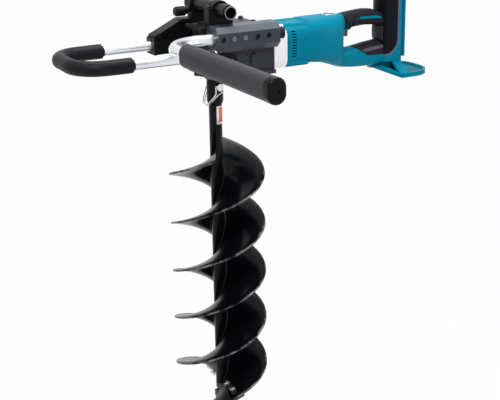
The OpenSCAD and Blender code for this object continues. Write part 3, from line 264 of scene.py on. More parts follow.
def pick(geom, kind):
    """The vertices, edges or faces among what an operator made."""
    return [g for g in geom if isinstance(g, kind)]


def along_flight(bm, section, lead, steps):
    """Spins a closed section of [radius, height] points up one flight and closes its ends."""
    a = math.radians(FLIGHT_START + lead)
    ring = [bm.verts.new((r * math.cos(a), r * math.sin(a), FLIGHT_LOW + h)) for r, h in section]
    loop = [bm.edges.new((ring[i - 1], ring[i])) for i in range(len(ring))]
    rise_all = FLIGHT_TURN / 360.0 * FLIGHT_PITCH
    made = bmesh.ops.spin(bm, geom=ring + loop, cent=(0.0, 0.0, 0.0), axis=(0.0, 0.0, 1.0),
                          dvec=(0.0, 0.0, rise_all / steps), angle=math.radians(FLIGHT_TURN), steps=steps)
    last = pick(made["geom_last"], bmesh.types.BMEdge)
    bmesh.ops.edgeloop_fill(bm, edges=loop)
    bmesh.ops.edgeloop_fill(bm, edges=last)


lower = [(r, -FLIGHT_HALF) for r in (FLIGHT_IN, 0.035, 0.06, 0.083, 0.0982)]
lower += [(0.0994, -0.0016), (FLIGHT_R, -0.0003)]
plate_section = lower + [(r, -h) for r, h in reversed(lower)]
for node, lead in zip(("flight_a", "flight_b"), FLIGHT_LEADS):
    bm = bmesh.new()
    along_flight(bm, plate_section, lead, 296)
    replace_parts(piece(node + "_plate", bm, bit_paint, "bit"), node)


# Weld beads: a fillet of weld metal runs up both sides of each flight where it meets the tube.
# The beads are rippled, painted over with the rest, and catch the light.
BEAD_IN, BEAD_RISE, BEAD_R, BEAD_RIPPLE, BEAD_LUMP = 0.0138, 0.0036, 0.0026, 0.00035, 0.0006
bm = bmesh.new()
for lead in FLIGHT_LEADS:
    for side in (-1.0, 1.0):
        bead = [(BEAD_IN + BEAD_R * math.cos(t), side * BEAD_RISE + BEAD_R * math.sin(t))
                for t in (k * math.pi / 4 for k in range(8))]
        along_flight(bm, bead, lead, 560)
for v in bm.verts:
    ripple = BEAD_RIPPLE * math.sin(v.co.z * 1300.0) + BEAD_LUMP * noise.noise(v.co * 90.0)
    v.co += Vector((v.co.x, v.co.y, 0.0)).normalized() * ripple
weld_paint = bit_coat("weld_paint", (0.006, 0.007, 0.01), (0.2, 0.2, 0.21), 0.2, 0.3)
piece("weld_beads", bm, weld_paint, "bit", 60.0)


# Tab: a plain stuck-on paper tab below the drive socket, white with an orange-red field.
# The film is bent round the tube and stands a sixth of a millimetre proud.
TAB_FROM, TAB_TURN, TAB_LOW, TAB_HIGH, TAB_R, TAB_THICK = -107.0, 92.0, 0.648, 0.686, 0.01362, 0.00016


def thicken(ob, thickness, offset=-1.0):
    """Gives a skin its wall, inwards unless told otherwise."""
    wall = ob.modifiers.new("wall", "SOLIDIFY")
    wall.thickness, wall.offset = thickness, offset


bm = bmesh.new()
a = math.radians(TAB_FROM)
ends = [bm.verts.new((TAB_R * math.cos(a), TAB_R * math.sin(a), z)) for z in (TAB_LOW, TAB_HIGH)]
edge = bm.edges.new(ends)
bmesh.ops.spin(bm, geom=[*ends, edge], cent=(0.0, 0.0, 0.0), axis=(0.0, 0.0, 1.0), dvec=(0.0, 0.0, 0.0),
               angle=math.radians(TAB_TURN), steps=18)
film = Finish("tab_film")
at = film.add("ShaderNodeTexCoord", None, "Object")
z = film.add("ShaderNodeSeparateXYZ", None, "Z", Vector=at)
around = film.add("ShaderNodeMath", {"operation": "ARCTAN2"}, 0,
                  _0=film.add("ShaderNodeSeparateXYZ", None, "Y", Vector=at),
                  _1=film.add("ShaderNodeSeparateXYZ", None, "X", Vector=at))
field = ((z > TAB_LOW + 0.0045) * (z < TAB_HIGH - 0.0035) * (around > math.radians(TAB_FROM + 22.0))
         * (around < math.radians(TAB_FROM + TAB_TURN - 14.0)))
fibre = film.add("ShaderNodeTexNoise", None, "Fac", Vector=at, Scale=700.0, Detail=3.0)
ink = film.blend(field, (0.86, 0.84, 0.83), (0.72, 0.13, 0.06))
film.surface(Base_Color=ink, Roughness=fibre * 0.2 + 0.35,
             Normal=film.add("ShaderNodeBump", None, Strength=0.05, Distance=0.0002, Height=fibre))
thicken(piece("shaft_tab", bm, film, "bit"), TAB_THICK, 1.0)


# Cutters and pilot: serrated blades bolted under the flights and a split centre point.
# Forged tool steel, left dark, ground bright only by use.
def steel(name, colour, rough, grain, stretch=(1.0, 1.0, 1.0), tint=0.12, depth=0.08):
    """Bare or plated metal with fine grain that may be drawn out along an axis."""
    f = Finish(name)
    at = f.add("ShaderNodeTexCoord", None, "Object")
    drawn = f.add("ShaderNodeMapping", None, 0, Vector=at, Scale=stretch)
    fine = f.add("ShaderNodeTexNoise", None, "Fac", Vector=drawn, Scale=grain, Detail=5.0, Roughness=0.6)
    cloud = f.add("ShaderNodeTexNoise", None, "Fac", Vector=at, Scale=46.0, Detail=4.0)
    low = tuple(c * (1.0 - tint) for c in colour)
    shade = f.blend(cloud, low, colour)
    return f.surface(Base_Color=shade, Metallic=1.0, Roughness=fine * 0.16 + cloud * 0.1 + (rough - 0.13),
                     Normal=f.add("ShaderNodeBump", None, Strength=depth, Distance=0.0002, Height=fine))


tool_steel = steel("tool_steel", (0.09, 0.092, 0.1), 0.4, 900.0, tint=0.4)
dress("cutter_blades pilot_point", tool_steel)
zinc_plate = steel("zinc_plate", (0.74, 0.75, 0.76), 0.27, 1100.0)
dress("blade_bolts", zinc_plate)


# Lock pin and bail: a zinc-plated steel pin through the socket, kept in by a sprung wire bail.
# The wire is drawn, bent on a former and hooked into the pin's cross hole.
dress("lock_pin bail_wire", zinc_plate, 0.0003)


# Gear train: cut and ground steel wheels and shafts in oil, on rolled bearings.
# A rubber lip seal and a steel collar keep soil out at the bottom.
ground_steel = steel("ground_steel", (0.52, 0.53, 0.55), 0.3, 1400.0)
dress("spindle ring_gear bevel_shaft lay_gear idler_shaft idler_gear rotor_shaft", ground_steel, 0.0002)
bearing_steel = steel("bearing_steel", (0.66, 0.67, 0.69), 0.2, 800.0)
dress("spindle_bearings lay_bearings idler_bearings motor_bearings", bearing_steel, 0.0003)
dress("dust_collar", steel("collar_steel", (0.16, 0.165, 0.175), 0.4, 900.0))


def moulded(name, colour, rough, grain, depth, gloss=0.4, vary=0.25, zone=None, other=None):
    """Moulded or coated surface: fine even texture, slow change of shade, another colour in a zone."""
    f = Finish(name)
    at = f.add("ShaderNodeTexCoord", None, "Object")
    fine = f.add("ShaderNodeTexNoise", None, "Fac", Vector=at, Scale=grain, Detail=3.0, Roughness=0.55)
    slow = f.add("ShaderNodeTexNoise", None, "Fac", Vector=at, Scale=22.0, Detail=5.0)
    low = tuple(c * (1.0 - vary) for c in colour)
    high = tuple(c * (1.0 + vary) for c in colour)
    shade = f.blend(slow, low, high)
    if zone:
        place = [f.add("ShaderNodeSeparateXYZ", None, k, Vector=at) for k in "XYZ"]
        shade = f.blend(zone(*place), shade, other)
    bump = f.add("ShaderNodeBump", None, Strength=depth, Distance=0.0003, Height=fine)
    return f.surface(Base_Color=shade, Roughness=fine * 0.12 + slow * 0.12 + (rough - 0.12),
                     Specular_IOR_Level=gloss, Normal=bump)


dress("oil_seal", moulded("seal_rubber", (0.012, 0.012, 0.013), 0.6, 900.0, 0.2, 0.3))


# Motor: a wound rotor core and stator of stacked iron sheets, with a moulded fan.
# The sheets show as fine rings along the motor axis.
stack = Finish("iron_stack")
at = stack.add("ShaderNodeTexCoord", None, "Object")
sheets = stack.add("ShaderNodeTexWave", {"bands_direction": "X"}, "Fac", Vector=at, Scale=320.0,
                   Distortion=0.3)
cloud = stack.add("ShaderNodeTexNoise", None, "Fac", Vector=at, Scale=60.0, Detail=4.0)
stack.surface(Base_Color=stack.blend(sheets * 0.6 + cloud * 0.4, (0.13, 0.12, 0.115), (0.4, 0.39, 0.38)),
              Metallic=1.0, Roughness=cloud * 0.2 + 0.32,
              Normal=stack.add("ShaderNodeBump", None, Strength=0.3, Distance=0.0002, Height=sheets))
dress("rotor_core stator", stack, 0.0002)
dress("cooling_fan", moulded("fan_nylon", (0.02, 0.021, 0.023), 0.45, 700.0, 0.1))


# Gear head: a cast aluminium housing and cover, powder coated dark, closed with socket screws.
# The coat is pebbled; long bolts pass from the motor case through the bare neck.
CAST_BLACK, CAST_GREY, COVER_GREY = (0.004, 0.004, 0.005), (0.03, 0.032, 0.043), (0.034, 0.036, 0.047)
HEAD_TOP, HEAD_FRONT, COVER_TOP, COVER_FRONT = 0.81, -0.02, 0.8525, -0.012
cast_coat = moulded("cast_coat", CAST_GREY, 0.4, 1500.0, 0.3, 0.15, 0.25,
                    lambda x, y, z: (z > HEAD_TOP) * (x < HEAD_FRONT), CAST_BLACK)
dress("gear_housing", cast_coat, 0.001)
cover_coat = moulded("cover_coat", COVER_GREY, 0.4, 1500.0, 0.3, 0.15, 0.25,
                     lambda x, y, z: (z > COVER_TOP) + (x < COVER_FRONT), CAST_BLACK)
dress("gear_cover", cover_coat, 0.001)
black_screw = steel("black_screw", (0.05, 0.05, 0.055), 0.36, 1000.0)
dress("bracket_screws strap_screws", black_screw, 0.0003)
dress("sleeve_screws", steel("oiled_screw", (0.2, 0.205, 0.22), 0.3, 1000.0), 0.0003)
dress("cover_screws", moulded("screw_coat", COVER_GREY, 0.4, 1500.0, 0.3, 0.15), 0.0003)
dress("long_bolts", zinc_plate, 0.0003)


# Neck: the bare die-cast aluminium case between gear head and motor, tumbled and left uncoated.
# Fine cast grain, pale and bright.
dress("neck_case", steel("bare_casting", (0.78, 0.79, 0.82), 0.44, 900.0, tint=0.06), 0.0008)


# Side handle: an extruded, coated sleeve on the head holds a bent tube with a plastic end plug.
# A charcoal moulded grip covers the tube's free arm, closed by a black cap.
# The sleeve's top chamfer is coloured a lighter blue-grey: a painted highlight on the dark coat.
CHAMFER_HIGHLIGHT_Z, CHAMFER_HIGHLIGHT_Y = 0.8466, -0.0745
sleeve_coat_painted_highlight = moulded("sleeve_coat_painted_highlight", (0.034, 0.038, 0.051), 0.3, 1500.0, 0.14, 0.25, 0.25,
                      lambda x, y, z: (z > CHAMFER_HIGHLIGHT_Z) * (y < CHAMFER_HIGHLIGHT_Y), (0.1, 0.118, 0.145))
dress("pipe_sleeve", sleeve_coat_painted_highlight, 0.0014)
dress("side_pipe", steel("pipe_metal", (0.76, 0.78, 0.82), 0.3, 500.0, tint=0.06, depth=0.02), 0.0006)
dress("pipe_plug", moulded("plug_plastic", (0.022, 0.024, 0.033), 0.4, 900.0, 0.1, 0.15), 0.0005)

grip_mould = Finish("grip_mould")
at = grip_mould.add("ShaderNodeTexCoord", None, "Object")
flow = grip_mould.add("ShaderNodeMapping", None, 0, Vector=at, Scale=(1.0, 0.06, 1.0))
streak = grip_mould.add("ShaderNodeTexNoise", None, "Fac", Vector=flow, Scale=240.0, Detail=5.0)
sand = grip_mould.add("ShaderNodeTexNoise", None, "Fac", Vector=at, Scale=1600.0, Detail=2.0)
grip_mould.surface(Base_Color=grip_mould.blend(streak, (0.021, 0.0215, 0.028), (0.031, 0.032, 0.04)),
                   Roughness=streak * 0.16 + 0.4, Specular_IOR_Level=0.2,
                   Normal=grip_mould.add("ShaderNodeBump", None, Strength=0.16, Distance=0.0003,
                                         Height=sand + streak * 0.6))
dress("side_grip", grip_mould, 0.001)

CAP_X, CAP_Y, CAP_Z, CAP_LONG = -0.14, -0.487, 0.832, 0.019
CAP_R, CAP_STRETCH, CAP_ROUND, DIMPLE_R, DIMPLE_DEEP = 0.0174, 0.0055, 0.0052, 0.0036, 0.0025
bm = bmesh.new()
stand = Matrix.Translation((CAP_X, CAP_Y, CAP_Z)) @ Matrix.Rotation(math.pi / 2, 4, "X")
bmesh.ops.create_circle(bm, cap_ends=True, segments=64, radius=CAP_R, matrix=stand)
for v in bm.verts:
    v.co.z += math.copysign(CAP_STRETCH, v.co.z - CAP_Z)
base = bm.faces[:]
made = bmesh.ops.extrude_face_region(bm, geom=base, use_keep_orig=True)["geom"]
bmesh.ops.translate(bm, verts=pick(made, bmesh.types.BMVert), vec=(0.0, -CAP_LONG, 0.0))
end = pick(made, bmesh.types.BMFace)
bmesh.ops.bevel(bm, geom=end[0].edges[:], offset=CAP_ROUND, segments=6, profile=0.5, affect="EDGES",
                material=-1)
bm.faces.ensure_lookup_table()
face = min(bm.faces, key=lambda f: f.calc_center_median().y)
bmesh.ops.inset_individual(bm, faces=[face], thickness=0.005)
for v in face.verts:
    way = Vector((v.co.x - CAP_X, 0.0, (v.co.z - CAP_Z) * 0.6)).normalized()
    v.co = Vector((CAP_X, v.co.y, CAP_Z)) + way * DIMPLE_R
bmesh.ops.inset_individual(bm, faces=[face], thickness=0.0004, depth=-DIMPLE_DEEP)
cap_gloss = moulded("cap_plastic", (0.003, 0.003, 0.004), 0.24, 600.0, 0.03, 0.12)
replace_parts(piece("grip_end_cap", bm, cap_gloss, "power_head", 50.0), "grip_cap")


# Loop handle: a bent bare aluminium tube that slides in two cast brackets on the head.
# A ribbed knob on the far bracket clamps the cross tube.
loop_metal = steel("loop_metal", (0.78, 0.8, 0.84), 0.3, 500.0, (0.03, 1.0, 1.0), 0.06, 0.02)
dress("loop_tube", loop_metal, 0.0004)
bracket_coat = moulded("bracket_coat", CAST_BLACK, 0.4, 1500.0, 0.3, 0.1)
dress("bracket_far bracket_near", bracket_coat, 0.001)
dress("clamp_knob", moulded("knob_plastic", (0.005, 0.005, 0.006), 0.38, 900.0, 0.1, 0.12), 0.001)


# Loop foam: a sleeve of closed-cell foam pushed over the front of the loop.
# It follows the bends, swells a little between them and has rounded open ends.
FOAM_R, FOAM_END, FOAM_SWELL = 0.01475, -0.211, 0.00035
LEG_Y, LOOP_Z, BEND_X, BEND_R = 0.078, 0.806, -0.258, 0.055


def run(bm, loop, vec, steps):
    """Extrudes a ring of edges in straight steps and gives the last ring."""
    for _ in range(steps):
        made = bmesh.ops.extrude_edge_only(bm, edges=loop)["geom"]
        fresh = set(pick(made, bmesh.types.BMVert))
        bmesh.ops.translate(bm, verts=list(fresh), vec=Vector(vec) / steps)
        loop = [e for e in pick(made, bmesh.types.BMEdge) if set(e.verts) <= fresh]
    return loop


def bend(bm, loop, centre, degrees, steps):
    """Spins a ring of edges round an upright axis and gives the last ring."""
    geom = list({v for e in loop for v in e.verts}) + loop
    made = bmesh.ops.spin(bm, geom=geom, cent=centre, axis=(0.0, 0.0, 1.0), dvec=(0.0, 0.0, 0.0),
                          angle=math.radians(degrees), steps=steps)["geom_last"]
    return pick(made, bmesh.types.BMEdge)


bm = bmesh.new()
stand = Matrix.Translation((FOAM_END, -LEG_Y, LOOP_Z)) @ Matrix.Rotation(math.pi / 2, 4, "Y")
bmesh.ops.create_circle(bm, cap_ends=False, segments=48, radius=FOAM_R, matrix=stand)
first = bm.edges[:]
loop = run(bm, first, (BEND_X - FOAM_END, 0.0, 0.0), 12)
loop = bend(bm, loop, (BEND_X, BEND_R - LEG_Y, LOOP_Z), -90.0, 24)
loop = run(bm, loop, (0.0, 2.0 * (LEG_Y - BEND_R), 0.0), 12)
loop = bend(bm, loop, (BEND_X, LEG_Y - BEND_R, LOOP_Z), -90.0, 24)
last = run(bm, loop, (FOAM_END - BEND_X, 0.0, 0.0), 12)
for v in bm.verts:
    v.co += Vector((0.0, 0.0, FOAM_SWELL)) * noise.noise(v.co * 28.0) * (1.0 if v.co.z > LOOP_Z else -1.0)
for ring in (first, last):
    lid = bmesh.ops.edgeloop_fill(bm, edges=ring)["faces"]
    bmesh.ops.inset_individual(bm, faces=lid, thickness=0.0012, depth=0.0012)
    bmesh.ops.inset_individual(bm, faces=lid, thickness=0.0032)
    bmesh.ops.inset_individual(bm, faces=lid, thickness=0.0001, depth=-0.006)
foam_skin = Finish("foam_skin")
at = foam_skin.add("ShaderNodeTexCoord", None, "Object")
cells = foam_skin.add("ShaderNodeTexVoronoi", None, "Distance", Vector=at, Scale=1100.0)
dull = foam_skin.add("ShaderNodeTexNoise", None, "Fac", Vector=at, Scale=55.0, Detail=5.0)
foam_skin.surface(Base_Color=foam_skin.blend(dull, (0.0035, 0.0038, 0.0055), (0.0065, 0.007, 0.0095)),
                  Roughness=dull * 0.2 + 0.36, Specular_IOR_Level=0.14,
                  Normal=foam_skin.add("ShaderNodeBump", None, Strength=0.22, Distance=0.0003,
                                       Height=cells + dull * 0.8))
foam = piece("loop_foam_sleeve", bm, foam_skin, "loop", 50.0)
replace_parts(foam, "loop_foam")


# Cross tube: a short aluminium tube across the head in a black plastic sleeve, under two straps.
# It is dipped black but for its cut ends; straps are cast and coated like the brackets and screwed down.
CUT_END = 0.0772
tube_dip = moulded("tube_dip", (0.003, 0.0035, 0.0045), 0.36, 900.0, 0.06, 0.1, 0.25,
                   lambda x, y, z: y * y > CUT_END ** 2, (0.2, 0.21, 0.23))
dress("cross_tube", tube_dip, 0.0005)
dress("cross_sleeve", moulded("sleeve_plastic", (0.004, 0.0045, 0.0055), 0.34, 900.0, 0.06, 0.15), 0.0008)
dress("tube_straps", bracket_coat, 0.001)


# Motor case: two glass-filled nylon halves in teal, spark-textured in the mould and screwed together.
# They run on as the core of the rear D-handle; flush plugs close the near half's screw holes.
TEAL, MOTOR_Z, PLUG_R = (0.0, 0.19, 0.29), 0.798, 0.0033
CASE_HIGH, CASE_DEEP, CASE_POWER = 0.043, 0.0476, 3.2
VENT_FRONT, VENT_BACK, VENT_LOW, VENT_HIGH = 0.1545, 0.1655, 0.774, 0.831


def vent_painted_shade(x, y, z):
    """The walls of the vent slots, below the skin of the case, painted near black as shade."""
    high = ((z - MOTOR_Z) * (z - MOTOR_Z) * (1.0 / CASE_HIGH ** 2)) ** (CASE_POWER / 2.0)
    skin = (1.0 - high) ** (1.0 / CASE_POWER) * CASE_DEEP
    slots = (x > VENT_FRONT) * (x < VENT_BACK) * (z > VENT_LOW) * (z < VENT_HIGH)
    return slots * (y * y < skin * skin)


# The vent slot walls are painted near black: painted shade inside the slots.
teal_case = moulded("teal_case", TEAL, 0.4, 1700.0, 0.14, 0.05, 0.08, vent_painted_shade, (0.001, 0.004, 0.006))
dress("case_near case_far", teal_case, 0.0006, 32.0)
dress("case_screws", black_screw, 0.0003)
bm = bmesh.new()
for x, z, deep, out in ((0.306, 0.753, 0.0179, 0.01865), (0.375, 0.8325, 0.0147, 0.0171)):
    stand = Matrix.Translation((x, -(deep + out) / 2, z)) @ Matrix.Rotation(math.pi / 2, 4, "X")
    bmesh.ops.create_cone(bm, cap_ends=True, segments=36, radius1=PLUG_R, radius2=PLUG_R, depth=out - deep,
                          matrix=stand)
piece("screw_plugs", bm, teal_case, "power_head")
dress("switch_body", moulded("switch_plastic", (0.02, 0.02, 0.022), 0.45, 900.0, 0.1))
board = Finish("board_mask")
at = board.add("ShaderNodeTexCoord", None, "Object")
traces = board.add("ShaderNodeTexBrick", None, "Fac", Vector=at, Scale=140.0)
board.surface(Base_Color=board.blend(traces, (0.012, 0.07, 0.035), (0.03, 0.13, 0.06)),
              Roughness=traces * 0.1 + 0.3)
dress("controller", board, 0.0002)


# Overmould: black elastomer moulded over grip and rail of the D-handle, proud of the teal.
# It leaves a teal inlay along the grip; slots clear the lever, the button and the far screws.
GRIP_ROWS = [(286, 829, 19, 18), (300, 827, 19, 19), (317, 828.5, 18.5, 19.5), (321, 831.5, 17.5, 17),
             (340, 833.5, 17, 16.8), (357, 834, 17, 17), (376, 832.5, 17.3, 16.5), (394, 827.5, 18.5, 15.5),
             (405, 823, 21, 17)]
RAIL_ROWS = [(284, 754.5, 22, 19), (300, 751.5, 19, 20), (330, 750.75, 18, 22.75), (363, 752.75, 18.5, 25.75),
             (385, 754, 19.5, 27), (395, 754.5, 20.5, 27.5), (405, 756, 24, 29)]
GRIP_EDGE = [(296.2, 862), (301.2, 815.2), (321.2, 815.2), (321.2, 790), (420, 790), (420, 862)]
TEAL_INLAY = [(322.5, 830.6), (331, 834.6), (340, 838.4), (347, 837), (374, 836.8), (383, 837.6), (399, 831),
              (394, 829.6), (376, 830.8), (357, 831.6), (340, 831.4)]
LEVER_SLOT = [(322.6, 818.6), (333.4, 818.6), (333.4, 826.4), (322.6, 826.4)]
RAIL_EDGE = [(312.2, 782), (361.2, 752.2), (420, 752.2), (420, 800), (312.2, 800)]
OVER_PROUD, OVER_WALL = 0.3, 0.0022


def bar_skin(bm, rows, proud, power=2.7, count=96):
    """Lofts an open skin through rows of [x, middle z, half width, half height] in millimetres."""
    before = None
    for x, z, w, h in rows:
        ring = bmesh.ops.create_circle(bm, cap_ends=False, segments=count, radius=1.0)["verts"]
        edges = list({e for v in ring for e in v.link_edges})
        for v in ring:
            c, s = v.co.x, v.co.y
            v.co = (x / 1000.0, math.copysign(abs(c) ** (2.0 / power), c) * (w + proud) / 1000.0,
                    (z + math.copysign(abs(s) ** (2.0 / power), s) * (h + proud)) / 1000.0)
        if before:
            bmesh.ops.bridge_loops(bm, edges=before + edges)
        before = edges


def trim(bm, outline, inside=True, up=2, only=0.0):
    """Cuts a skin along an outline in X and Z (or X and Y), and keeps its inside or its outside."""
    spots = [Vector((x / 1000.0, 0.0, b / 1000.0) if up == 2 else (x / 1000.0, b / 1000.0, 0.0))
             for x, b in outline]
    depth = Vector((0.0, 1.0, 0.0) if up == 2 else (0.0, 0.0, 1.0))
    for p, q in zip(spots, spots[1:] + spots[:1]):
        bmesh.ops.bisect_plane(bm, geom=bm.verts[:] + bm.edges[:] + bm.faces[:], dist=1e-7, plane_co=p,
                               plane_no=(q - p).cross(depth).normalized())

    def within(c):
        odd = False
        for p, q in zip(spots, spots[1:] + spots[:1]):
            crossed = (p[up] > c[up]) != (q[up] > c[up])
            if crossed and c.x < (q.x - p.x) * (c[up] - p[up]) / (q[up] - p[up]) + p.x:
                odd = not odd
        return odd

    drop = []
    for f in bm.faces:
        c = f.calc_center_median()
        if only * (c.z - MOTOR_Z if up == 1 else c.y) >= 0.0 and within(c) != inside:
            drop.append(f)
    bmesh.ops.delete(bm, geom=drop, context="FACES")


def ease(ob, width, degrees):
    """Rounds the edges of a piece that are sharper than an angle."""
    edge = ob.modifiers.new("edge", "BEVEL")
    edge.width, edge.segments = width, 2
    edge.limit_method, edge.angle_limit = "ANGLE", math.radians(degrees)


def ring_of(x, b, r, n=12):
    """A round outline for a screw or a button, in millimetres."""
    return [(x + r * math.cos(2 * math.pi * k / n), b + r * math.sin(2 * math.pi * k / n)) for k in range(n)]


COLUMN_X, COLUMN_R = 433, 41.4
around = [math.radians(t) for t in range(-36, 37, 8)]
COLUMN_FRONT = [(280, -60), *((COLUMN_X - COLUMN_R * math.cos(t), COLUMN_R * math.sin(t)) for t in around),
                (280, 60)]
bm = bmesh.new()
bar_skin(bm, GRIP_ROWS, OVER_PROUD)
trim(bm, GRIP_EDGE)
trim(bm, TEAL_INLAY, inside=False)
trim(bm, ring_of(375, 832.5, 3.7), inside=False, only=1.0)
trim(bm, LEVER_SLOT, inside=False)
trim(bm, ring_of(308, 833, 4.5), inside=False, only=-1.0)
rail = bmesh.new()
bar_skin(rail, RAIL_ROWS, OVER_PROUD)
trim(rail, RAIL_EDGE)
trim(rail, ring_of(383, 760, 3.7), inside=False, only=1.0)
rail_mesh = bpy.data.meshes.new("rail_part")
rail.to_mesh(rail_mesh)
rail.free()
bm.from_mesh(rail_mesh)
bpy.data.meshes.remove(rail_mesh)
trim(bm, COLUMN_FRONT, up=1)
elastomer = Finish("elastomer")
at = elastomer.add("ShaderNodeTexCoord", None, "Object")
leather = elastomer.add("ShaderNodeTexVoronoi", {"feature": "DISTANCE_TO_EDGE"}, "Distance", Vector=at,
                        Scale=620.0)
handled = elastomer.add("ShaderNodeTexNoise", None, "Fac", Vector=at, Scale=42.0, Detail=5.0)
elastomer.surface(Base_Color=elastomer.blend(handled, (0.007, 0.0065, 0.0095), (0.013, 0.012, 0.017)),
                  Roughness=handled * 0.22 + 0.44, Specular_IOR_Level=0.12,
                  Normal=elastomer.add("ShaderNodeBump", None, Strength=0.3, Distance=0.0003, Height=leather))
over = piece("handle_overmould", bm, elastomer, "power_head", 40.0)
thicken(over, OVER_WALL)
ease(over, 0.0006, 60.0)
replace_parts(over, "soft_near", "soft_far")


# Rail stripe: a lighter charcoal strip let into the overmould along both sides of the rail.
# Moulded with it, smooth, and slightly proud.
STRIPE_EDGE, STRIPE_PROUD = [(343, 766.5), (351, 759.5), (398, 766), (398, 772.5), (362, 768.5)], 0.75
bm = bmesh.new()
bar_skin(bm, RAIL_ROWS, STRIPE_PROUD)
trim(bm, STRIPE_EDGE)
trim(bm, COLUMN_FRONT, up=1)
charcoal = moulded("stripe_elastomer", (0.075, 0.072, 0.09), 0.5, 1200.0, 0.1, 0.2)
thicken(piece("rail_stripe", bm, charcoal, "power_head", 40.0), 0.001)


# Speed panel: a thin silver plate on the case top round the speed lever's slot.
# Stamped sheet, satin, stuck into a shallow recess.
BODY_ROWS = [(240, 798.5, 50, 48), (268, 794.5, 45, 53), (283, 792, 37, 56), (287, 792, 34, 56)]
PANEL_EDGE, PANEL_PROUD = [(258, -12), (286.5, -12), (286.5, 12), (258, 12)], 0.4
SPEED_SLOT = [(261.2, -6.8), (282.8, -6.8), (282.8, 6.8), (261.2, 6.8)]
bm = bmesh.new()
bar_skin(bm, BODY_ROWS, PANEL_PROUD, CASE_POWER)
trim(bm, PANEL_EDGE, up=1)
trim(bm, SPEED_SLOT, inside=False, up=1)
low_side = [f for f in bm.faces if f.calc_center_median().z < 0.8]
bmesh.ops.delete(bm, geom=low_side, context="FACES")
satin_sheet = steel("satin_sheet", (0.7, 0.71, 0.73), 0.35, 900.0, (1.0, 0.05, 1.0))
thicken(piece("speed_panel", bm, satin_sheet, "power_head", 40.0), 0.0006)


# Battery column: a black moulded shell behind the hand gap, closed by a teal back plate with rails.
# Brass blades in the plate make the contact with the batteries.
TURN_X, TURN_Z, HIGHLIGHT_IN, HIGHLIGHT_OUT = 0.398, 0.784, 0.03, 0.0372
column_mould = moulded("column_mould", (0.0035, 0.0042, 0.007), 0.42, 1700.0, 0.14, 0.07)
dress("battery_base", column_mould, 0.0015)


def painted_edge_highlight(x, y, z):
    """The strip of the back plate along the edge of the black shell, painted pale blue-grey as a highlight.
    """
    below = z.math("MAXIMUM", TURN_Z - z, 0.0)
    out = ((x - TURN_X) * (x - TURN_X) + below * below) ** 0.5
    return (out > HIGHLIGHT_IN) * (out < HIGHLIGHT_OUT)


# A pale blue-grey strip along the black shell's edge is painted on the teal plate as a highlight.
teal_plate = moulded("teal_plate", TEAL, 0.4, 1700.0, 0.14, 0.05, 0.08, painted_edge_highlight, (0.085, 0.125, 0.19))
dress("back_plate", teal_plate, 0.001)
brass = steel("contact_brass", (0.72, 0.5, 0.2), 0.28, 900.0)
dress("terminals", brass, 0.0003)


# Foot: a teal moulded shoe under the column with a dished plate that guards the batteries.
# Two flared walls and two arms from the rail carry the plate, with a pocket between them; the pocket and part
# of the dish floor are painted darker teal as shade.
FOOT_FRONT, FOOT_BACK, FOOT_NOTCH, FOOT_HALF, FOOT_ROUND = 0.415, 0.5035, 0.0145, 0.067, 0.053
FOOT_LOW, FOOT_DEEP, SHOE_TOP, SHOE_WAIST, SHOE_FLARE = 0.705, 0.01, 0.735, 0.0195, 1.5
POCKET_FRONT, POCKET_BACK, POCKET_LOW = 0.4225, 0.4335, 0.7115
DISH_FRONT, DISH_LOW, DISH_HIGH = 0.4415, 0.7105, 0.7125


def hull(bm, *boxes):
    """Adds the convex hull of boxes, each given by its spans of x, y and z in millimetres."""
    spots = [bm.verts.new((x / 1000.0, y / 1000.0, z / 1000.0))
             for xs, ys, zs in boxes for x in xs for y in ys for z in zs]
    made = bmesh.ops.convex_hull(bm, input=spots)
    spare = set(pick(made["geom_interior"] + made["geom_unused"], bmesh.types.BMVert))
    bmesh.ops.delete(bm, geom=list(spare), context="VERTS")


bm = bmesh.new()
arc = [math.radians(t) for t in range(-90, 91, 6)]
rim = [(FOOT_BACK - FOOT_ROUND + FOOT_ROUND * math.cos(t),
        math.copysign(FOOT_HALF - FOOT_ROUND, t) + FOOT_ROUND * math.sin(t)) for t in arc]
corners = [(FOOT_FRONT + 0.004, FOOT_HALF), (FOOT_FRONT + 0.001, FOOT_HALF - 0.002),
           (FOOT_FRONT + FOOT_NOTCH, 0.045)]
rim += corners + [(x, -y) for x, y in reversed(corners)]
face = bm.faces.new([bm.verts.new((x, y, FOOT_LOW)) for x, y in rim])
made = bmesh.ops.extrude_face_region(bm, geom=[face], use_keep_orig=True)["geom"]
bmesh.ops.translate(bm, verts=pick(made, bmesh.types.BMVert), vec=(0.0, 0.0, FOOT_DEEP))
dish = pick(made, bmesh.types.BMFace)
bmesh.ops.inset_region(bm, faces=dish, thickness=0.005)
bmesh.ops.inset_region(bm, faces=dish, thickness=0.0012, depth=-0.004)
hull(bm, ((432, 441), (-27, 27), (733, 735)), ((433, 441), (-64, 64), (706, 710)))
for side in (-1, 1):
    hull(bm, ((419, 440.2), (side * 21, side * 27), (733, 734.8)),
         ((416, 440), (side * 59, side * 66), (706, 712)))
    hull(bm, ((386, 404), (side * 3, side * 13), (719, 725.5)),
         ((415.5, 421), (side * 57, side * 66), (705.5, 712)))
hull(bm, ((398, 436), (-14, 14), (733, 734.9)), ((402, 436), (-12, 12), (720, 722)))


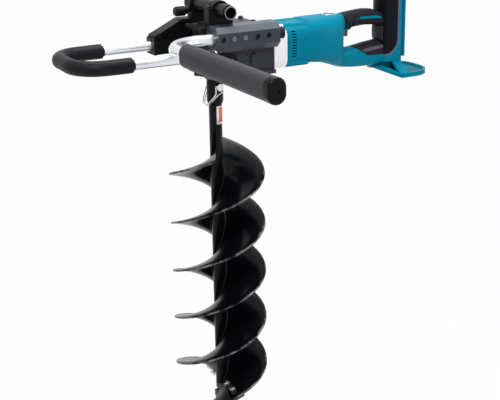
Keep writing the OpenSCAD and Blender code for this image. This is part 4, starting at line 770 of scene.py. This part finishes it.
def pocket_painted_shade(x, y, z):
    """Painted shade: the inside of the shoe, between its flared walls, and in part the floor of the dish."""
    wide = (SHOE_TOP - z) * SHOE_FLARE + SHOE_WAIST
    floor = (x > DISH_FRONT) * (z > DISH_LOW) * (z < DISH_HIGH)
    hollow = (x > POCKET_FRONT) * (x < POCKET_BACK) * (z > POCKET_LOW) * (y * y < wide * wide)
    return hollow + floor * 0.4


# Dark teal in the pocket, and partly on the dish floor, is painted shade.
teal_foot = moulded("teal_foot", TEAL, 0.4, 1700.0, 0.14, 0.05, 0.08, pocket_painted_shade, (0.0, 0.03, 0.045))
foot = piece("foot_shoe", bm, teal_foot, "power_head")
ease(foot, 0.0008, 38.0)
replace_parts(foot, "foot_guard")


# Column pad: a soft grey pad on the front of the column, where the back of the fingers rests.
# Moulded elastomer, crowned, set round the column's curve.
PAD_HALF = math.radians(30.0)
bm = bmesh.new()
bow = [(41.1, 782), (41.8, 784), (42.3, 790), (42.5, 797), (42.3, 804), (41.8, 810), (41.1, 812)]
side = math.cos(PAD_HALF), -math.sin(PAD_HALF)
crown = [bm.verts.new((COLUMN_X / 1000.0 - r / 1000.0 * side[0], r / 1000.0 * side[1], z / 1000.0))
         for r, z in bow]
edges = [bm.edges.new(pair) for pair in zip(crown, crown[1:])]
bmesh.ops.spin(bm, geom=crown + edges, cent=(COLUMN_X / 1000.0, 0.0, 0.8), axis=(0.0, 0.0, 1.0),
               dvec=(0.0, 0.0, 0.0), angle=-2.0 * PAD_HALF, steps=20)
pad_skin = moulded("pad_elastomer", (0.022, 0.022, 0.028), 0.5, 1200.0, 0.15, 0.16)
thicken(piece("column_pad", bm, pad_skin, "power_head", 60.0), 0.0008)


# Controls: trigger, reverse lever, lock button and speed lever, moulded in grey and black acetal.
# Each slides in its slot in the case.
dress("trigger", moulded("trigger_acetal", (0.07, 0.062, 0.075), 0.4, 1200.0, 0.1), 0.0012)
lever_acetal = moulded("lever_acetal", (0.012, 0.012, 0.014), 0.38, 1200.0, 0.1, 0.16)
dress("reverse_lever lock_button", lever_acetal, 0.0008)
dress("speed_lever", moulded("speed_acetal", (0.3, 0.31, 0.32), 0.4, 1200.0, 0.1), 0.0008)
